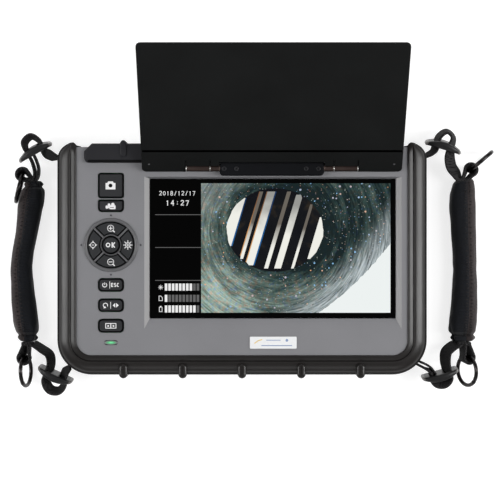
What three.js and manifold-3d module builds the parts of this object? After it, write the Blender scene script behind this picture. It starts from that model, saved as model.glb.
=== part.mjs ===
// Handheld inspection camera: a videoscope monitor with a rubber bumper, a flip-up lid and two hand straps.
// Millimetres. The unit lies on its back: +Z out of the display, +Y towards the display's top, +X to its right.
// The origin is on the rest pad in the middle of the back.

import * as THREE from "three";
import { mergeVertices } from "three/addons/utils/BufferGeometryUtils.js";
import Module from "manifold-3d";

const wasm = await Module();
wasm.setup();

// ---------- driving dimensions ----------
const GAP = 0.3;
const BODY_HALF_X = 121;
const BODY_TOP_Y = 75.4;
const BODY_BOTTOM_Y = -75.8;
const BODY_DEPTH = 45;
const BUMPER_WIDTH = 13.7;
const BUMPER_WALL_START = 7.2;
const FACE_CORNER_R = 9;
const BUMPER_END_R = 13;
const FACE_Z = 42;
const BACK_Z = 2;
const SEAM_Z = 20;
const SHELL_WALL = 2.5;
const FLOOR_WALL = 3.5;
const SHELL_TOP_Y = 73;
const RIB_X = [-77.2, -38.6, 0, 38.6, 77.2];
const RIB_TOP_Z = 45.8;

const WINDOW = { x0: -60.1, x1: 100.1, y0: -38.7, y1: 52.3 };
const RECESS = { x0: -63.7, x1: 104, y0: -45.5, y1: 53.6 };
const GLASS_TOP_Z = 39.7;
const GLASS_THICK = 2;

const KEY_X = -85.4;
const KEY_WIDTH = 16.4;
const KEY_TOP_Z = 43.2;
const KEY_BASE_Z = 37;
const KEY_FLANGE = 1.2;
const KEY_FLANGE_THICK = 1.8;
const KEY_CLEARANCE = 0.35;
const NAV_Y = 9.1;
const NAV_RING_R = 17.6;
const NAV_KEY_R = 15;
const NAV_HOLE_R = 16.5;
const OK_R = 5.9;
const NAV_INNER_R = 7.1;

const HINGE_Y = 59;
const HINGE_Z = 45.6;
const LID_OPEN_TILT = THREE.MathUtils.degToRad(44);
const LID_X0 = -65;
const LID_X1 = 104;
const LID_LENGTH = 102;
const RAIL_LENGTH = 15;
const KNUCKLE_R = 2.15;
const PIN_R = 0.9;
const PIN_BORE_R = 1.15;

const WEB_WIDTH = 11.6;
const WEB_THICK = 1.4;
const LUG_Z = 20;
const BUCKLE_Z = 16;
const BUCKLE_LENGTH = 24;
const BUCKLE_DEPTH = 18;
const RING_R = 9.8;
const RING_TUBE_R = 1.15;
const RING_Z = 11.3;
const PAD_Z = 8.2;
const PAD_HALF_Z = 7.7;

const unit = new THREE.Group();

// ---------- materials ----------
function finish(color, roughness, metalness) {
  return new THREE.MeshStandardMaterial({ color, roughness, metalness });
}
const greyPlastic = () => finish(0x87878a, 0.55, 0);
const blackPlastic = () => finish(0x1b1b1c, 0.45, 0);
const rubber = () => finish(0x3a3a3b, 0.6, 0);
const blackGlass = () => finish(0x050505, 0.08, 0);
const board = () => finish(0x1f5a35, 0.5, 0);
const steel = () => finish(0xa6a6a6, 0.3, 1);
const darkSteel = () => finish(0x4d4642, 0.35, 1);
const webbing = () => finish(0x161617, 0.85, 0);
const neoprene = () => finish(0x212225, 0.9, 0);

// ---------- solids ----------
function signedVolume(geometry) {
  const p = geometry.getAttribute("position");
  const index = geometry.getIndex();
  const corner = [new THREE.Vector3(), new THREE.Vector3(), new THREE.Vector3()];
  let volume = 0;
  for (let i = 0; i < index.count; i += 3) {
    corner.forEach((v, k) => v.fromBufferAttribute(p, index.getX(i + k)));
    volume += corner[0].dot(corner[1].clone().cross(corner[2])) / 6;
  }
  return volume;
}

function outward(geometry) {
  if (signedVolume(geometry) < 0) {
    const array = geometry.getIndex().array;
    for (let i = 0; i < array.length; i += 3) {
      [array[i], array[i + 1]] = [array[i + 1], array[i]];
    }
  }
  return geometry;
}

// Only the positions, with shared corners merged and the triangles that this flattens left out.
function bare(geometry) {
  const copy = geometry.clone();
  copy.deleteAttribute("normal");
  copy.deleteAttribute("uv");
  const merged = mergeVertices(copy, 1e-4);
  const old = merged.getIndex().array;
  const kept = [];
  for (let i = 0; i < old.length; i += 3) {
    const [a, b, c] = [old[i], old[i + 1], old[i + 2]];
    if (a !== b && b !== c && c !== a) kept.push(a, b, c);
  }
  merged.setIndex(kept);
  return outward(merged);
}

function solid(geometry) {
  const clean = bare(geometry);
  const vertProperties = new Float32Array(clean.getAttribute("position").array);
  const triVerts = new Uint32Array(clean.getIndex().array);
  return new wasm.Manifold(new wasm.Mesh({ numProp: 3, vertProperties, triVerts }));
}

function geometryOf(manifold) {
  const mesh = manifold.getMesh();
  const geometry = new THREE.BufferGeometry();
  geometry.setAttribute("position", new THREE.BufferAttribute(new Float32Array(mesh.vertProperties), 3));
  geometry.setIndex(new THREE.BufferAttribute(new Uint32Array(mesh.triVerts), 1));
  return geometry;
}

function combine(base, added, removed = []) {
  let result = solid(base);
  for (const piece of added) result = result.add(solid(piece));
  for (const piece of removed) result = result.subtract(solid(piece));
  return geometryOf(result);
}

function node(name, geometry, material, parent = unit) {
  const mesh = new THREE.Mesh(geometry, material);
  mesh.name = name;
  parent.add(mesh);
  return mesh;
}

// A rectangle with rounded corners; radii run from the lower left corner anticlockwise.
function roundedRect(x0, y0, x1, y1, radius) {
  const r = Array.isArray(radius) ? radius : [radius, radius, radius, radius];
  const shape = new THREE.Shape();
  const q = Math.PI / 2;
  shape.moveTo(x0 + r[0], y0);
  shape.lineTo(x1 - r[1], y0);
  shape.absarc(x1 - r[1], y0 + r[1], r[1], -q, 0, false);
  shape.lineTo(x1, y1 - r[2]);
  shape.absarc(x1 - r[2], y1 - r[2], r[2], 0, q, false);
  shape.lineTo(x0 + r[3], y1);
  shape.absarc(x0 + r[3], y1 - r[3], r[3], q, 2 * q, false);
  shape.lineTo(x0, y0 + r[0]);
  shape.absarc(x0 + r[0], y0 + r[0], r[0], 2 * q, 3 * q, false);
  return shape;
}

function prism(shape, z0, z1, curveSegments = 4) {
  const geometry = new THREE.ExtrudeGeometry(shape, { depth: z1 - z0, bevelEnabled: false, curveSegments });
  return geometry.translate(0, 0, z0);
}

// A prism whose upper and lower edges are chamfered.
function softPrism(shape, z0, z1, bevel, curveSegments = 2) {
  const options = {
    depth: z1 - z0 - 2 * bevel,
    bevelEnabled: true,
    bevelThickness: bevel,
    bevelSize: bevel,
    bevelOffset: -bevel,
    bevelSegments: 1,
    curveSegments,
  };
  return new THREE.ExtrudeGeometry(shape, options).translate(0, 0, z0 + bevel);
}

function block(x0, y0, z0, x1, y1, z1) {
  const geometry = new THREE.BoxGeometry(x1 - x0, y1 - y0, z1 - z0);
  return geometry.translate((x0 + x1) / 2, (y0 + y1) / 2, (z0 + z1) / 2);
}

function post(x, y, z0, z1, radius, sides = 12) {
  const geometry = new THREE.CylinderGeometry(radius, radius, z1 - z0, sides);
  return geometry.rotateX(Math.PI / 2).translate(x, y, (z0 + z1) / 2);
}

function barAlongX(x0, x1, y, z, radius, sides = 20) {
  const geometry = new THREE.CylinderGeometry(radius, radius, x1 - x0, sides);
  return geometry.rotateZ(Math.PI / 2).translate((x0 + x1) / 2, y, z);
}

function barAlongY(x, y0, y1, z, radius, sides = 24) {
  return new THREE.CylinderGeometry(radius, radius, y1 - y0, sides).translate(x, (y0 + y1) / 2, z);
}

// A closed skin through rings of points, capped with the triangles of the section's own outline.
function loft(rings, outline) {
  const count = outline.length;
  const positions = rings.flat().flatMap((v) => [v.x, v.y, v.z]);
  const index = [];
  for (let i = 0; i + 1 < rings.length; i += 1) {
    for (let k = 0; k < count; k += 1) {
      const a = i * count + k;
      const b = i * count + ((k + 1) % count);
      index.push(a, b, b + count, a, b + count, a + count);
    }
  }
  const last = (rings.length - 1) * count;
  const anticlockwise = THREE.ShapeUtils.area(outline) > 0;
  for (const face of THREE.ShapeUtils.triangulateShape(outline, [])) {
    const sameWay = THREE.ShapeUtils.area(face.map((k) => outline[k])) > 0 === anticlockwise;
    const [a, b, c] = sameWay ? face : [face[1], face[0], face[2]];
    index.push(a, c, b, last + a, last + b, last + c);
  }
  const geometry = new THREE.BufferGeometry();
  geometry.setAttribute("position", new THREE.Float32BufferAttribute(positions, 3));
  geometry.setIndex(index);
  return outward(geometry);
}

// A box whose lower and upper rectangles differ, for sloping recess walls.
function taperedBlock(lower, z0, upper, z1) {
  const corners = (r, z) => [
    new THREE.Vector3(r.x0, r.y0, z),
    new THREE.Vector3(r.x1, r.y0, z),
    new THREE.Vector3(r.x1, r.y1, z),
    new THREE.Vector3(r.x0, r.y1, z),
  ];
  const outline = corners(lower, 0).map((v) => new THREE.Vector2(v.x, v.y));
  return loft([corners(lower, z0), corners(upper, z1)], outline);
}

const grown = (r, by) => ({ x0: r.x0 - by, x1: r.x1 + by, y0: r.y0 - by, y1: r.y1 + by });
const rectBlock = (r, z0, z1) => block(r.x0, r.y0, z0, r.x1, r.y1, z1);

// ---------- bumper ----------
const INNER_X = BODY_HALF_X - BUMPER_WIDTH;
const INNER_BOTTOM_Y = BODY_BOTTOM_Y + BUMPER_WIDTH;

// The rubber section: u is outwards from the edge of the grey face, w is up from the back.
function bumperSection() {
  const points = [
    [0, FACE_Z + GAP], [0, 43.2], [1.3, 43.9], [3.2, 43.9], [4.6, 43], [6.4, 44.3], [9, BODY_DEPTH],
    [11.6, 44.2], [13.1, 42.2], [13.7, 39], [13.7, 6], [13.1, 2.8], [11.6, 0.8], [9, 0], [3, 0],
    [0, 0.8], [0, BACK_Z - GAP], [BUMPER_WALL_START, BACK_Z - GAP], [BUMPER_WALL_START, FACE_Z + GAP],
  ];
  return points.map(([u, w]) => new THREE.Vector2(u, w));
}

// Stations along the inner edge: position and outward direction, from the top left round to the top right.
function bumperStations() {
  const cx = INNER_X - FACE_CORNER_R;
  const cy = INNER_BOTTOM_Y + FACE_CORNER_R;
  const stations = [{ x: -INNER_X, y: BODY_TOP_Y, angle: Math.PI }];
  const steps = 6;
  for (const side of [-1, 1]) {
    for (let i = 0; i <= steps; i += 1) {
      const angle = side < 0 ? Math.PI * (1 + i / steps / 2) : Math.PI * (1.5 + i / steps / 2);
      const x = side * cx + FACE_CORNER_R * Math.cos(angle);
      stations.push({ x, y: cy + FACE_CORNER_R * Math.sin(angle), angle });
    }
  }
  stations.push({ x: INNER_X, y: BODY_TOP_Y, angle: 2 * Math.PI });
  return stations;
}

function bumperEndCutter(side) {
  const arcX = BODY_HALF_X - BUMPER_END_R;
  const arcY = BODY_TOP_Y - BUMPER_END_R;
  const shape = new THREE.Shape();
  shape.moveTo(BODY_HALF_X + 1, arcY);
  shape.lineTo(BODY_HALF_X, arcY);
  shape.absarc(arcX, arcY, BUMPER_END_R, 0, Math.PI / 2, false);
  shape.lineTo(arcX, BODY_TOP_Y + 1);
  shape.lineTo(BODY_HALF_X + 1, BODY_TOP_Y + 1);
  const cutter = prism(shape, -1, BODY_DEPTH + 1, 10);
  return side < 0 ? cutter.rotateY(Math.PI).translate(0, 0, BODY_DEPTH) : cutter;
}

// Strap anchors: a pin across a slot in the bumper. The direction points out of the slot.
const LUGS = {
  left_top: { x: -120.2, y: 66.9, angle: Math.PI },
  right_top: { x: 120.2, y: 67.5, angle: 0 },
  left_bottom: lugOnCorner(-1, 50),
  right_bottom: lugOnCorner(1, 44),
};

function lugOnCorner(side, degrees) {
  const down = THREE.MathUtils.degToRad(degrees);
  const angle = side < 0 ? Math.PI + down : -down;
  const reach = FACE_CORNER_R + BUMPER_WIDTH;
  const x = side * (INNER_X - FACE_CORNER_R) + reach * Math.cos(angle);
  return { x, y: INNER_BOTTOM_Y + FACE_CORNER_R + reach * Math.sin(angle), angle };
}

const LUG_PIN_R = 1.45;
const LUG_PIN_DEPTH = 4.1;

function alongLug(lug, geometry) {
  return geometry.rotateZ(lug.angle).translate(lug.x, lug.y, 0);
}

function lugSlot(lug) {
  return alongLug(lug, block(-5.9, -2.2, LUG_Z - 7.5, 4, 2.2, LUG_Z + 7.5));
}

function lugPinBar(lug, radius, halfLength) {
  return alongLug(lug, post(-LUG_PIN_DEPTH, 0, LUG_Z - halfLength, LUG_Z + halfLength, radius, 12));
}

function addBumper() {
  const section = bumperSection();
  const rings = bumperStations().map(({ x, y, angle }) =>
    section.map((p) => new THREE.Vector3(x + p.x * Math.cos(angle), y + p.x * Math.sin(angle), p.y)));
  const added = [];
  for (const side of [-1, 1]) {
    const x0 = side < 0 ? -BODY_HALF_X : INNER_X;
    added.push(block(x0, SHELL_TOP_Y + GAP, 0.8, x0 + BUMPER_WIDTH, BODY_TOP_Y, 43.2));
  }
  const shellSpace = block(-INNER_X, -73, BACK_Z - GAP, INNER_X, 0, FACE_Z + GAP);
  for (const x of RIB_X) {
    const pill = softPrism(roundedRect(x - 2.8, -77.7, x + 2.8, -68.1, 2.6), 0, RIB_TOP_Z, 0.7, 2);
    added.push(combine(pill, [], [shellSpace]));
  }
  const removed = [bumperEndCutter(-1), bumperEndCutter(1)];
  for (const lug of Object.values(LUGS)) {
    removed.push(lugSlot(lug), lugPinBar(lug, LUG_PIN_R + 0.15, 10.2));
  }
  node("bumper", combine(loft(rings, section), added, removed), rubber());
  for (const [name, lug] of Object.entries(LUGS)) {
    node(`strap_lug_${name}`, lugPinBar(lug, LUG_PIN_R, 10), steel());
  }
}

// ---------- top block with the ports ----------
const TOP_BLOCK = { x: 102.7, y0: 62.6, y1: 75.2, z1: 45.3, wall: 1.9 };
const SOCKET = { x: 57.9, z: 22, r: 8.5, boreR: 6 };
const PORT = { x0: -32, x1: -7, z0: 13.4, z1: 30.6 };

function socketHole(y0, y1) {
  return barAlongY(SOCKET.x, y0, y1, SOCKET.z, SOCKET.r + GAP);
}

function addTopBlock() {
  const { x, y0, y1, z1, wall } = TOP_BLOCK;
  const plan = new THREE.Shape();
  const chamfer = 5;
  plan.moveTo(-x + 3, y0);
  plan.lineTo(x - 3, y0);
  plan.absarc(x - 3, y0 + 3, 3, -Math.PI / 2, 0, false);
  plan.lineTo(x, y1 - chamfer);
  plan.lineTo(x - chamfer, y1);
  plan.lineTo(-x + chamfer, y1);
  plan.lineTo(-x, y1 - chamfer);
  plan.lineTo(-x, y0 + 3);
  plan.absarc(-x + 3, y0 + 3, 3, Math.PI, 1.5 * Math.PI, false);
  const ribs = RIB_X.map((ribX) => softPrism(roundedRect(ribX - 1.9, 67.4, ribX + 1.9, 77.3, 1.8), 0, RIB_TOP_Z, 0.6, 2));
  const shellSpace = block(-x - 1, y0 - 1, BACK_Z - GAP, x + 1, y1 - wall, FACE_Z + GAP);
  const port = block(PORT.x0 - 0.4, 70, PORT.z0 - 0.4, PORT.x1 + 0.4, 80, PORT.z1 + 0.4);
  const removed = [shellSpace, port, socketHole(70, 80)];
  const geometry = combine(softPrism(plan, 0, z1, 1), ribs, removed);
  node("top_bumper", geometry, rubber());
}

function addPorts() {
  const { x, z, r, boreR } = SOCKET;
  const profile = [[0, 58], [r, 58], [r, 75], [boreR, 75], [boreR, 65], [0, 65]];
  const turned = new THREE.LatheGeometry(profile.map(([a, b]) => new THREE.Vector2(a, b)), 24);
  node("probe_socket", bare(turned).translate(x, 0, z), darkSteel());

  const mid = (PORT.x0 + PORT.x1) / 2;
  const shell = block(mid - 6.5, 62, 20.4, mid + 6.5, 72.9, 25.2);
  const mouth = block(mid - 5.9, 66, 21, mid + 5.9, 80, 24.6);
  node("data_socket", combine(shell, [], [mouth]), steel());
  const flap = block(PORT.x0, 73.5, PORT.z0, PORT.x1, 75.2, PORT.z1);
  const lip = block(mid - 3, 74, PORT.z0 - 0.2, mid + 3, 76.6, PORT.z0 + 1.6);
  node("port_cover", combine(flap, [lip]), rubber());
}

// ---------- shells ----------
const SHELL = { x: INNER_X + BUMPER_WALL_START - GAP, y0: INNER_BOTTOM_Y - BUMPER_WALL_START + GAP };
const SCREWS = [[-103, 66], [103, 66], [-103, -56.5], [103, -56.5]];
const BOSS_R = 3.4;

function shellOutline(inset) {
  const { x, y0 } = SHELL;
  const low = 15.6 - inset;
  const high = 8 - inset;
  return roundedRect(-x + inset, y0 + inset, x - inset, SHELL_TOP_Y - inset, [low, low, high, high]);
}

function keyHoles() {
  const z0 = FACE_Z - SHELL_WALL - 1;
  const z1 = FACE_Z + 1;
  const holes = KEYS.map((k) => prism(keyShape(k, KEY_CLEARANCE), z0, z1));
  holes.push(post(KEY_X, NAV_Y, z0, z1, NAV_HOLE_R, 28));
  holes.push(prism(ledShape(0.25), z0, z1));
  return holes;
}

function addFrontHousing() {
  const frame = grown(WINDOW, 5);
  const added = [rectBlock(frame, 27, FACE_Z - 1)];
  const removed = [
    taperedBlock(grown(WINDOW, GAP), GLASS_TOP_Z - GLASS_THICK - GAP, grown(WINDOW, GAP), GLASS_TOP_Z),
    taperedBlock(grown(WINDOW, 0.2), GLASS_TOP_Z - 0.5, RECESS, FACE_Z + 0.01),
    rectBlock(grown(WINDOW, -4), 25, GLASS_TOP_Z),
    rectBlock(grown(WINDOW, GAP), 25, 35.4),
    ...keyHoles(),
    socketHole(60, 80),
    block(PORT.x0 + 2, 60, PORT.z0 + 2, PORT.x1 - 2, 80, PORT.z1 - 2),
  ];
  const cavity = prism(shellOutline(SHELL_WALL), SEAM_Z - 1, FACE_Z - SHELL_WALL);
  let shell = solid(prism(shellOutline(0), SEAM_Z + GAP, FACE_Z)).subtract(solid(cavity));
  for (const piece of added) shell = shell.add(solid(piece));
  for (const [x, y] of SCREWS) shell = shell.add(solid(post(x, y, SEAM_Z + GAP, FACE_Z - 1, BOSS_R)));
  for (const piece of removed) shell = shell.subtract(solid(piece));
  for (const [x, y] of SCREWS) shell = shell.subtract(solid(post(x, y, SEAM_Z - 1, 30, 1.7, 12)));
  node("front_housing", geometryOf(shell), greyPlastic());
}

const DOOR = { x0: 16, x1: 90, y0: -38, y1: 38 };
const DOOR_TRAVEL = 8;
const PAD = { x0: -44, x1: 10, y0: -22, y1: 22 };
const BOARD_POSTS = [[-50, -34], [-50, 40], [92, -44], [92, 46]];
const BOARD_Z = 20.6;

function addRearHousing() {
  const cavity = prism(shellOutline(SHELL_WALL), BACK_Z + FLOOR_WALL, SEAM_Z + 1);
  let shell = solid(prism(shellOutline(0), BACK_Z, SEAM_Z)).subtract(solid(cavity));
  const plate = softPrism(roundedRect(PAD.x0, PAD.y0, PAD.x1, PAD.y1, 4), 0, BACK_Z + 1, 0.4);
  shell = shell.add(solid(plate));
  for (const [x, y] of SCREWS) shell = shell.add(solid(post(x, y, BACK_Z + 1, SEAM_Z - 0.5, BOSS_R)));
  for (const [x, y] of BOARD_POSTS) shell = shell.add(solid(post(x, y, BACK_Z + 1, BOARD_Z - GAP, 3)));
  const removed = [
    block(DOOR.x0 - GAP, DOOR.y0 - GAP, 0, DOOR.x1 + DOOR_TRAVEL + GAP, DOOR.y1 + GAP, 4.4),
    block(26, -36, 0, 84, 36, 7),
    socketHole(60, 80),
    block(PORT.x0 + 2, 60, PORT.z0 + 2, PORT.x1 - 2, 80, PORT.z1 - 2),
  ];
  for (const piece of removed) shell = shell.subtract(solid(piece));
  for (const [x, y] of SCREWS) {
    shell = shell.subtract(solid(post(x, y, 0, SEAM_Z + 1, 1.7, 12)));
    shell = shell.subtract(solid(post(x, y, 0, 4.6, 3.1)));
  }
  node("rear_housing", geometryOf(shell), blackPlastic());
  SCREWS.forEach(([x, y], i) => {
    const head = post(x, y, BACK_Z + GAP, 4.3, 2.8);
    const socket = post(x, y, 0, 3.4, 1.2, 6);
    node(`housing_screw_${i + 1}`, combine(head, [post(x, y, 4, 28, 1.4, 12)], [socket]), steel());
  });
}

function addBatteryDoor() {
  const plate = softPrism(roundedRect(DOOR.x0, DOOR.y0, DOOR.x1, DOOR.y1, 3), BACK_Z, 4.1, 0.4);
  const grooves = [];
  for (let i = 0; i < 5; i += 1) {
    const x = DOOR.x1 - 14 + i * 2.4;
    grooves.push(block(x, -12, BACK_Z - 1, x + 1, 12, BACK_Z + 0.7));
  }
  node("battery_door", combine(plate, [], grooves), blackPlastic());
}

// ---------- inside ----------
function addInside() {
  const glass = softPrism(roundedRect(WINDOW.x0, WINDOW.y0, WINDOW.x1, WINDOW.y1, 0.8),
    GLASS_TOP_Z - GLASS_THICK, GLASS_TOP_Z, 0.2);
  node("display_window", glass, blackGlass());
  const backlight = rectBlock(grown(WINDOW, -3), 27.4, 30);
  const bezel = rectBlock(WINDOW, 29.6, 35.1);
  node("lcd_panel", combine(bezel, [backlight]), steel());

  const chips = [[-38, -10, 14, 14], [-12, 12, 10, 10], [20, 10, 16, 9], [60, -20, 9, 9], [40, -28, 24, 5]];
  const parts = chips.map(([x, y, w, h]) => block(x, y, BOARD_Z + 1, x + w, y + h, BOARD_Z + 3.2));
  node("main_board", combine(block(-56, -48, BOARD_Z, 97, 52, BOARD_Z + 1.6), parts), board());
  const cells = [];
  for (let i = 0; i < 3; i += 1) {
    cells.push(barAlongY(39 + i * 18.6, -33, 33, 13, 6.6, 16));
  }
  node("battery_pack", combine(block(30, -34, 6, 82, 34, 12.5), cells), finish(0x2c5f8a, 0.5, 0));

  const domes = KEYS.map((k) => post(KEY_X, (k.y0 + k.y1) / 2, 34.5, 36, 2.2, 12));
  for (let i = 0; i < 4; i += 1) {
    const a = (i * Math.PI) / 2;
    domes.push(post(KEY_X + 11 * Math.cos(a), NAV_Y + 11 * Math.sin(a), 34.5, 36, 2.2, 12));
  }
  domes.push(post(KEY_X, NAV_Y, 34.5, 36, 2.2, 12));
  node("keypad_board", combine(block(-98.5, -52, 33.4, -68.5, 60, 35), domes), board());
}

// ---------- keys ----------
const KEYS = [
  { name: "snapshot_button", y0: 39.8, y1: 55.9, r: 1.5 },
  { name: "record_button", y0: 30.8, y1: 38.5, r: [2.3, 2.3, 1, 1] },
  { name: "power_button", y0: -21.1, y1: -12.7, r: 2.6 },
  { name: "rotate_button", y0: -34.3, y1: -26, r: 2.6 },
  { name: "gallery_button", y0: -47.8, y1: -39.2, r: 2.6 },
];

function keyShape(key, by) {
  const half = KEY_WIDTH / 2 + by;
  const radii = (Array.isArray(key.r) ? key.r : [key.r, key.r, key.r, key.r]).map((r) => r + Math.max(by, 0));
  return roundedRect(KEY_X - half, key.y0 - by, KEY_X + half, key.y1 + by, radii);
}

function ledShape(by) {
  return roundedRect(KEY_X - 4.15 - by, -55.8 - by, KEY_X + 4.15 + by, -53.2 + by, 1.25 + by);
}

// A quarter of the navigation ring: arcs at both radii and straight sides held off the diagonals.
function navShape(turn, inner, outer, halfGap) {
  const shape = new THREE.Shape();
  const a0 = Math.PI / 4 - Math.asin(halfGap / outer);
  const a1 = Math.PI / 4 - Math.asin(halfGap / inner);
  shape.absarc(KEY_X, NAV_Y, outer, turn - a0, turn + a0, false);
  shape.absarc(KEY_X, NAV_Y, inner, turn + a1, turn - a1, true);
  return shape;
}

function addKeys() {
  const flangeTop = KEY_BASE_Z + KEY_FLANGE_THICK;
  for (const key of KEYS) {
    const narrow = key.name === "record_button" || key.name === "snapshot_button";
    const flange = prism(keyShape(key, narrow ? 0.4 : KEY_FLANGE), KEY_BASE_Z, flangeTop);
    const cap = softPrism(keyShape(key, 0), KEY_BASE_Z, KEY_TOP_Z, 0.5);
    node(key.name, combine(cap, [flange]), blackPlastic());
  }
  ["right", "up", "left", "down"].forEach((name, i) => {
    const turn = (i * Math.PI) / 2;
    const cap = softPrism(navShape(turn, NAV_INNER_R, NAV_KEY_R, 0.5), KEY_BASE_Z, KEY_TOP_Z + 0.3, 0.4, 8);
    const flange = prism(navShape(turn, NAV_INNER_R, NAV_HOLE_R + 0.9, 0.5), KEY_BASE_Z, flangeTop, 8);
    node(`nav_${name}_button`, combine(cap, [flange]), blackPlastic());
  });
  const top = KEY_TOP_Z + 0.6;
  const profile = [[0, KEY_BASE_Z], [6.6, KEY_BASE_Z], [6.6, flangeTop], [OK_R, flangeTop],
    [OK_R, top - 0.8], [OK_R - 0.8, top - 0.1], [0, top + 0.2]];
  const turned = new THREE.LatheGeometry(profile.map(([a, b]) => new THREE.Vector2(a, b)), 32);
  node("ok_button", bare(turned).rotateX(Math.PI / 2).translate(KEY_X, NAV_Y, 0), blackPlastic());
}

function addTrim() {
  const rim = [[NAV_KEY_R + 0.3, 39.6], [NAV_HOLE_R - 0.3, 39.6], [NAV_HOLE_R - 0.3, FACE_Z + GAP],
    [NAV_RING_R, FACE_Z + GAP], [NAV_RING_R - 0.2, 42.9], [NAV_KEY_R + 0.7, 43.1], [NAV_KEY_R + 0.3, 42.9]];
  const closed = [...rim, rim[0]].map(([a, b]) => new THREE.Vector2(a, b));
  const ring = bare(new THREE.LatheGeometry(closed, 28));
  node("nav_ring", outward(ring.rotateX(Math.PI / 2)).translate(KEY_X, NAV_Y, 0), finish(0x545456, 0.4, 0));
  node("status_led", softPrism(ledShape(0), 38, FACE_Z + 0.3, 0.3), finish(0x78be91, 0.3, 0));
  node("name_label", softPrism(roundedRect(5.1, -58.4, 35.6, -50.6, 0.6), FACE_Z + GAP, 42.8, 0.1),
    finish(0xf0f0f0, 0.5, 0));
}

// ---------- hinge and lid ----------
const HINGE_BLOCK = { x0: -14.5, x1: 53.3, y0: 54.1, y1: 62.4, z1: 48 };
const SIDES = [
  { name: "left", lid: [-36.4, -20.6], fixed: [-20.4, -14], pin: [-36, -9] },
  { name: "right", lid: [59.6, 75.4], fixed: [53, 59.4], pin: [48, 75] },
];

function addHinge() {
  const { x0, x1, y0, y1, z1 } = HINGE_BLOCK;
  const plan = roundedRect(x0, y0, x1, y1, [2.5, 2.5, 1.2, 1.2]);
  const body = softPrism(plan, FACE_Z + GAP, z1, 0.8);
  const knuckles = SIDES.map((s) => barAlongX(s.fixed[0], s.fixed[1], HINGE_Y, HINGE_Z, KNUCKLE_R));
  const bores = SIDES.map((s) => barAlongX(s.pin[0] - 0.3, s.pin[1] + 0.3, HINGE_Y, HINGE_Z, PIN_BORE_R, 16));
  node("hinge_block", combine(body, knuckles, bores), blackPlastic());
  for (const s of SIDES) {
    node(`hinge_pin_${s.name}`, barAlongX(s.pin[0], s.pin[1], HINGE_Y, HINGE_Z, PIN_R, 16), steel());
  }
}

// The lid is drawn flat, pointing to +Y from the hinge line with its inner face up, and tilted by its group.
function addLid() {
  const lid = new THREE.Group();
  lid.position.set(0, HINGE_Y, HINGE_Z);
  lid.rotation.x = LID_OPEN_TILT;
  unit.add(lid);

  const panel = roundedRect(LID_X0, RAIL_LENGTH + GAP, LID_X1, LID_LENGTH, [0.5, 0.5, 3, 3]);
  node("lid_panel", softPrism(panel, -1.3, 0.8, 0.4), blackPlastic(), lid);

  const rail = softPrism(roundedRect(LID_X0, -2.6, LID_X1, RAIL_LENGTH, [3, 3, 0.5, 0.5]), -1.4, 0.9, 0.4);
  const notches = [block(HINGE_BLOCK.x0 - 0.5, -4, -3, HINGE_BLOCK.x1 + 0.5, 5.9, 3)];
  for (const s of SIDES) {
    notches.push(block(s.lid[0] - GAP, -4, -3, s.lid[1] + GAP, 7.6, 3));
    notches.push(block(s.fixed[0] - 0.5, -4, -3, s.fixed[1] + 0.5, 2.7, 3));
  }
  node("lid_rail", combine(rail, [], notches), blackPlastic(), lid);

  for (const s of SIDES) {
    const barrel = barAlongX(s.lid[0], s.lid[1], 0, 0, KNUCKLE_R);
    const leaf = block(s.lid[0], 0, -1.2, s.lid[1], 7.3, 0.3);
    const bore = barAlongX(s.lid[0] - 1, s.lid[1] + 1, 0, 0, PIN_BORE_R, 16);
    node(`lid_knuckle_${s.name}`, combine(barrel, [leaf], [bore]), darkSteel(), lid);
  }
}

// ---------- straps ----------
// A band on edge along a route: its width stands near Z, its thickness lies across the route.
function band(route, width, thick, steps) {
  const curve = new THREE.CatmullRomCurve3(route.map((p) => new THREE.Vector3(...p)), false, "centripetal");
  const up = new THREE.Vector3(0, 0, 1);
  const rings = [];
  for (let i = 0; i <= steps; i += 1) {
    const t = i / steps;
    const centre = curve.getPointAt(t);
    const along = curve.getTangentAt(t);
    const across = up.clone().addScaledVector(along, -up.dot(along)).normalize();
    const side = new THREE.Vector3().crossVectors(along, across);
    const w = width(t) / 2;
    const corners = [[-1, -1], [1, -1], [1, 1], [-1, 1]];
    rings.push(corners.map(([a, b]) =>
      centre.clone().addScaledVector(across, a * w).addScaledVector(side, (b * thick) / 2)));
  }
  const outline = [[0, 0], [1, 0], [1, 1], [0, 1]].map(([a, b]) => new THREE.Vector2(a, b));
  return loft(rings, outline);
}

// A ring's frame: its pull direction, the direction of its rod where the loop holds it, and their normal.
function ringBasis(loop) {
  const pull = new THREE.Vector3(loop.pull[0], loop.pull[1], 0).normalize();
  const lean = THREE.MathUtils.degToRad(loop.lean);
  const sideways = new THREE.Vector3(-pull.y, pull.x, 0);
  const up = new THREE.Vector3(0, 0, Math.cos(lean)).addScaledVector(sideways, Math.sin(lean));
  return new THREE.Matrix4().makeBasis(pull, up, new THREE.Vector3().crossVectors(pull, up));
}

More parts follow.
